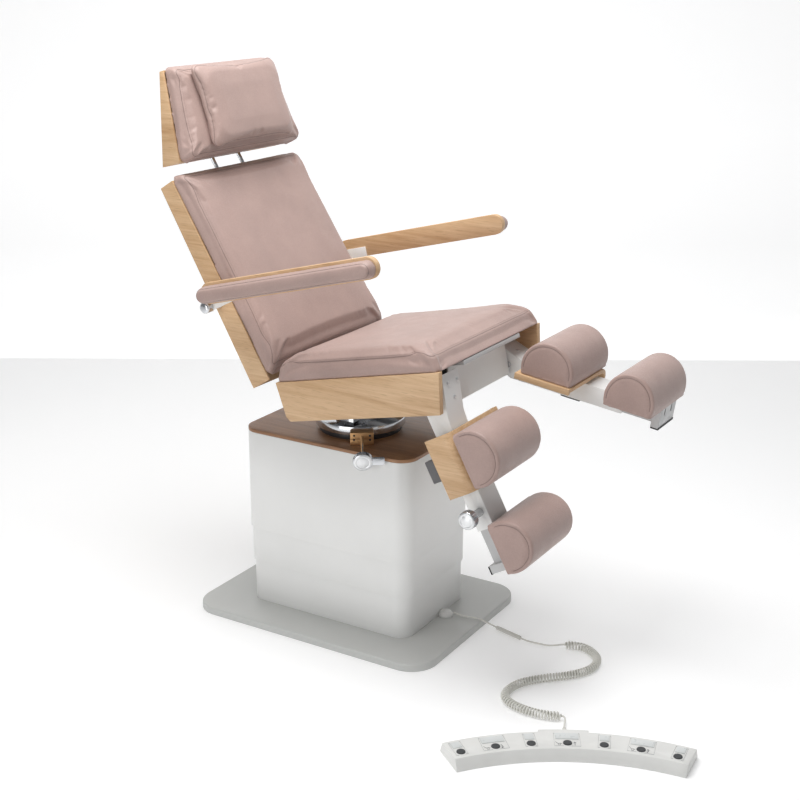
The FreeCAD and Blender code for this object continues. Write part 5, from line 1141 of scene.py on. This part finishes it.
for number in range(BUTTONS):
    angle = BUTTON_MIDDLE + (number - BUTTONS // 2) * BUTTON_PITCH
    wide = number in ARROWS
    half = LABEL_HALF[wide]
    steps = [k / LABEL_STEPS - 1 for k in range(2 * LABEL_STEPS + 1)]
    outline = [control_spot(angle, half * way * step, depth)
               for way, depth in zip((1, -1), LABEL_DEPTH) for step in steps]
    sign("label_edge_%d" % (number + 1), outline, LABEL_R, MATERIALS["hairline"], True)
    if not wide:
        continue
    arrow = sign_line(angle, ARROWS[number])
    heading = (arrow[-1] - arrow[-2]).normalized()
    across = heading.cross(Vector((0, 0, 1))) * BARB[1]
    root = arrow[-1] - heading * BARB[0]
    for part, line, radius in (("chair", sign_line(angle, CHAIR_SIGN), SIGN_R),
                               ("stand", sign_line(angle, STAND_SIGN), SIGN_R), ("arrow", arrow, ARROW_R),
                               ("barb", [root + across, arrow[-1], root - across], ARROW_R)):
        sign("%s_sign_%d" % (part, number + 1), line, radius, MATERIALS["ink"])


# Studio: pale floor and backdrop that glow a little, a soft top light, and weaker ones from the left and the front
FLOOR = 6.0
SWEEP_HALF = 9.0
SWEEP = ((-FLOOR, 0.0), (2.6, 0.0), (3.2, 0.08), (3.6, 0.35), (3.8, 0.9), (3.85, FLOOR))
SWEEP_ANGLE = 60
STAGE_WHITE = (0.86, 0.86, 0.86, 1.0)
STAGE_ROUGHNESS = 0.6
WHITE = (1.0, 1.0, 1.0, 1.0)
GLOWS = (("floor_white", 0.22), ("backdrop_white", 0.45))
LIGHTS = (
    ("top", (-0.35, -0.1, 3.3), (0, -0.1, 0.8), (2.0, 2.0), 88),
    ("left", (-3.2, 0.2, 0.9), (0, 0, 0.6), (2.0, 1.8), 22),
    ("front", (0.6, -3.8, 1.6), (0, 0, 0.6), (2.4, 1.8), 5),
)
WORLD_COLOUR = (0.97, 0.98, 1.0, 1.0)
WORLD_STRENGTH = 0.22


def make_stage():
    """Floor that curves up into a backdrop behind the object, as the camera sees it."""
    bm = bmesh.new()
    sweep = []
    azimuth = math.radians(CAMERA_AZIMUTH)
    across = Vector((math.cos(azimuth), math.sin(azimuth), 0))
    away = Vector((-math.sin(azimuth), math.cos(azimuth), 0))
    for distance, height in SWEEP:
        middle = away * distance + Vector((0, 0, height))
        sweep.append([bm.verts.new(middle + across * side) for side in (-SWEEP_HALF, SWEEP_HALF)])
    for first_pair, second_pair in zip(sweep, sweep[1:]):
        bm.faces.new((first_pair[0], first_pair[1], second_pair[1], second_pair[0]))
    for face in list(bm.faces)[1:]:
        face.material_index = 1  # the backdrop, past the flat floor
    floor = to_piece(bm, "floor")
    smooth(floor, SWEEP_ANGLE)
    for name, glow in GLOWS:
        g = Graph(name)
        g.set(Base_Color=STAGE_WHITE, Roughness=STAGE_ROUGHNESS, Emission_Color=WHITE, Emission_Strength=glow)
        floor.data.materials.append(g.material)


def area_light(name, place, aim, size, power):
    """Rectangular light at a place, turned to a point."""
    data = bpy.data.lights.new(name, "AREA")
    data.shape = "RECTANGLE"
    data.size, data.size_y = size
    data.energy = power
    obj = link(name, data)
    place = Vector(place)
    turn = (Vector(aim) - place).to_track_quat("-Z", "Y").to_matrix().to_4x4()
    obj.matrix_world = Matrix.Translation(place) @ turn


make_stage()
for light in LIGHTS:
    area_light(*light)
world = bpy.data.worlds.new("studio")
world.use_nodes = True
sky = world.node_tree.nodes["Background"].inputs
sky["Color"].default_value = WORLD_COLOUR
sky["Strength"].default_value = WORLD_STRENGTH
bpy.context.scene.world = world
bpy.context.scene.view_settings.view_transform = "Standard"
bpy.context.view_layer.update()
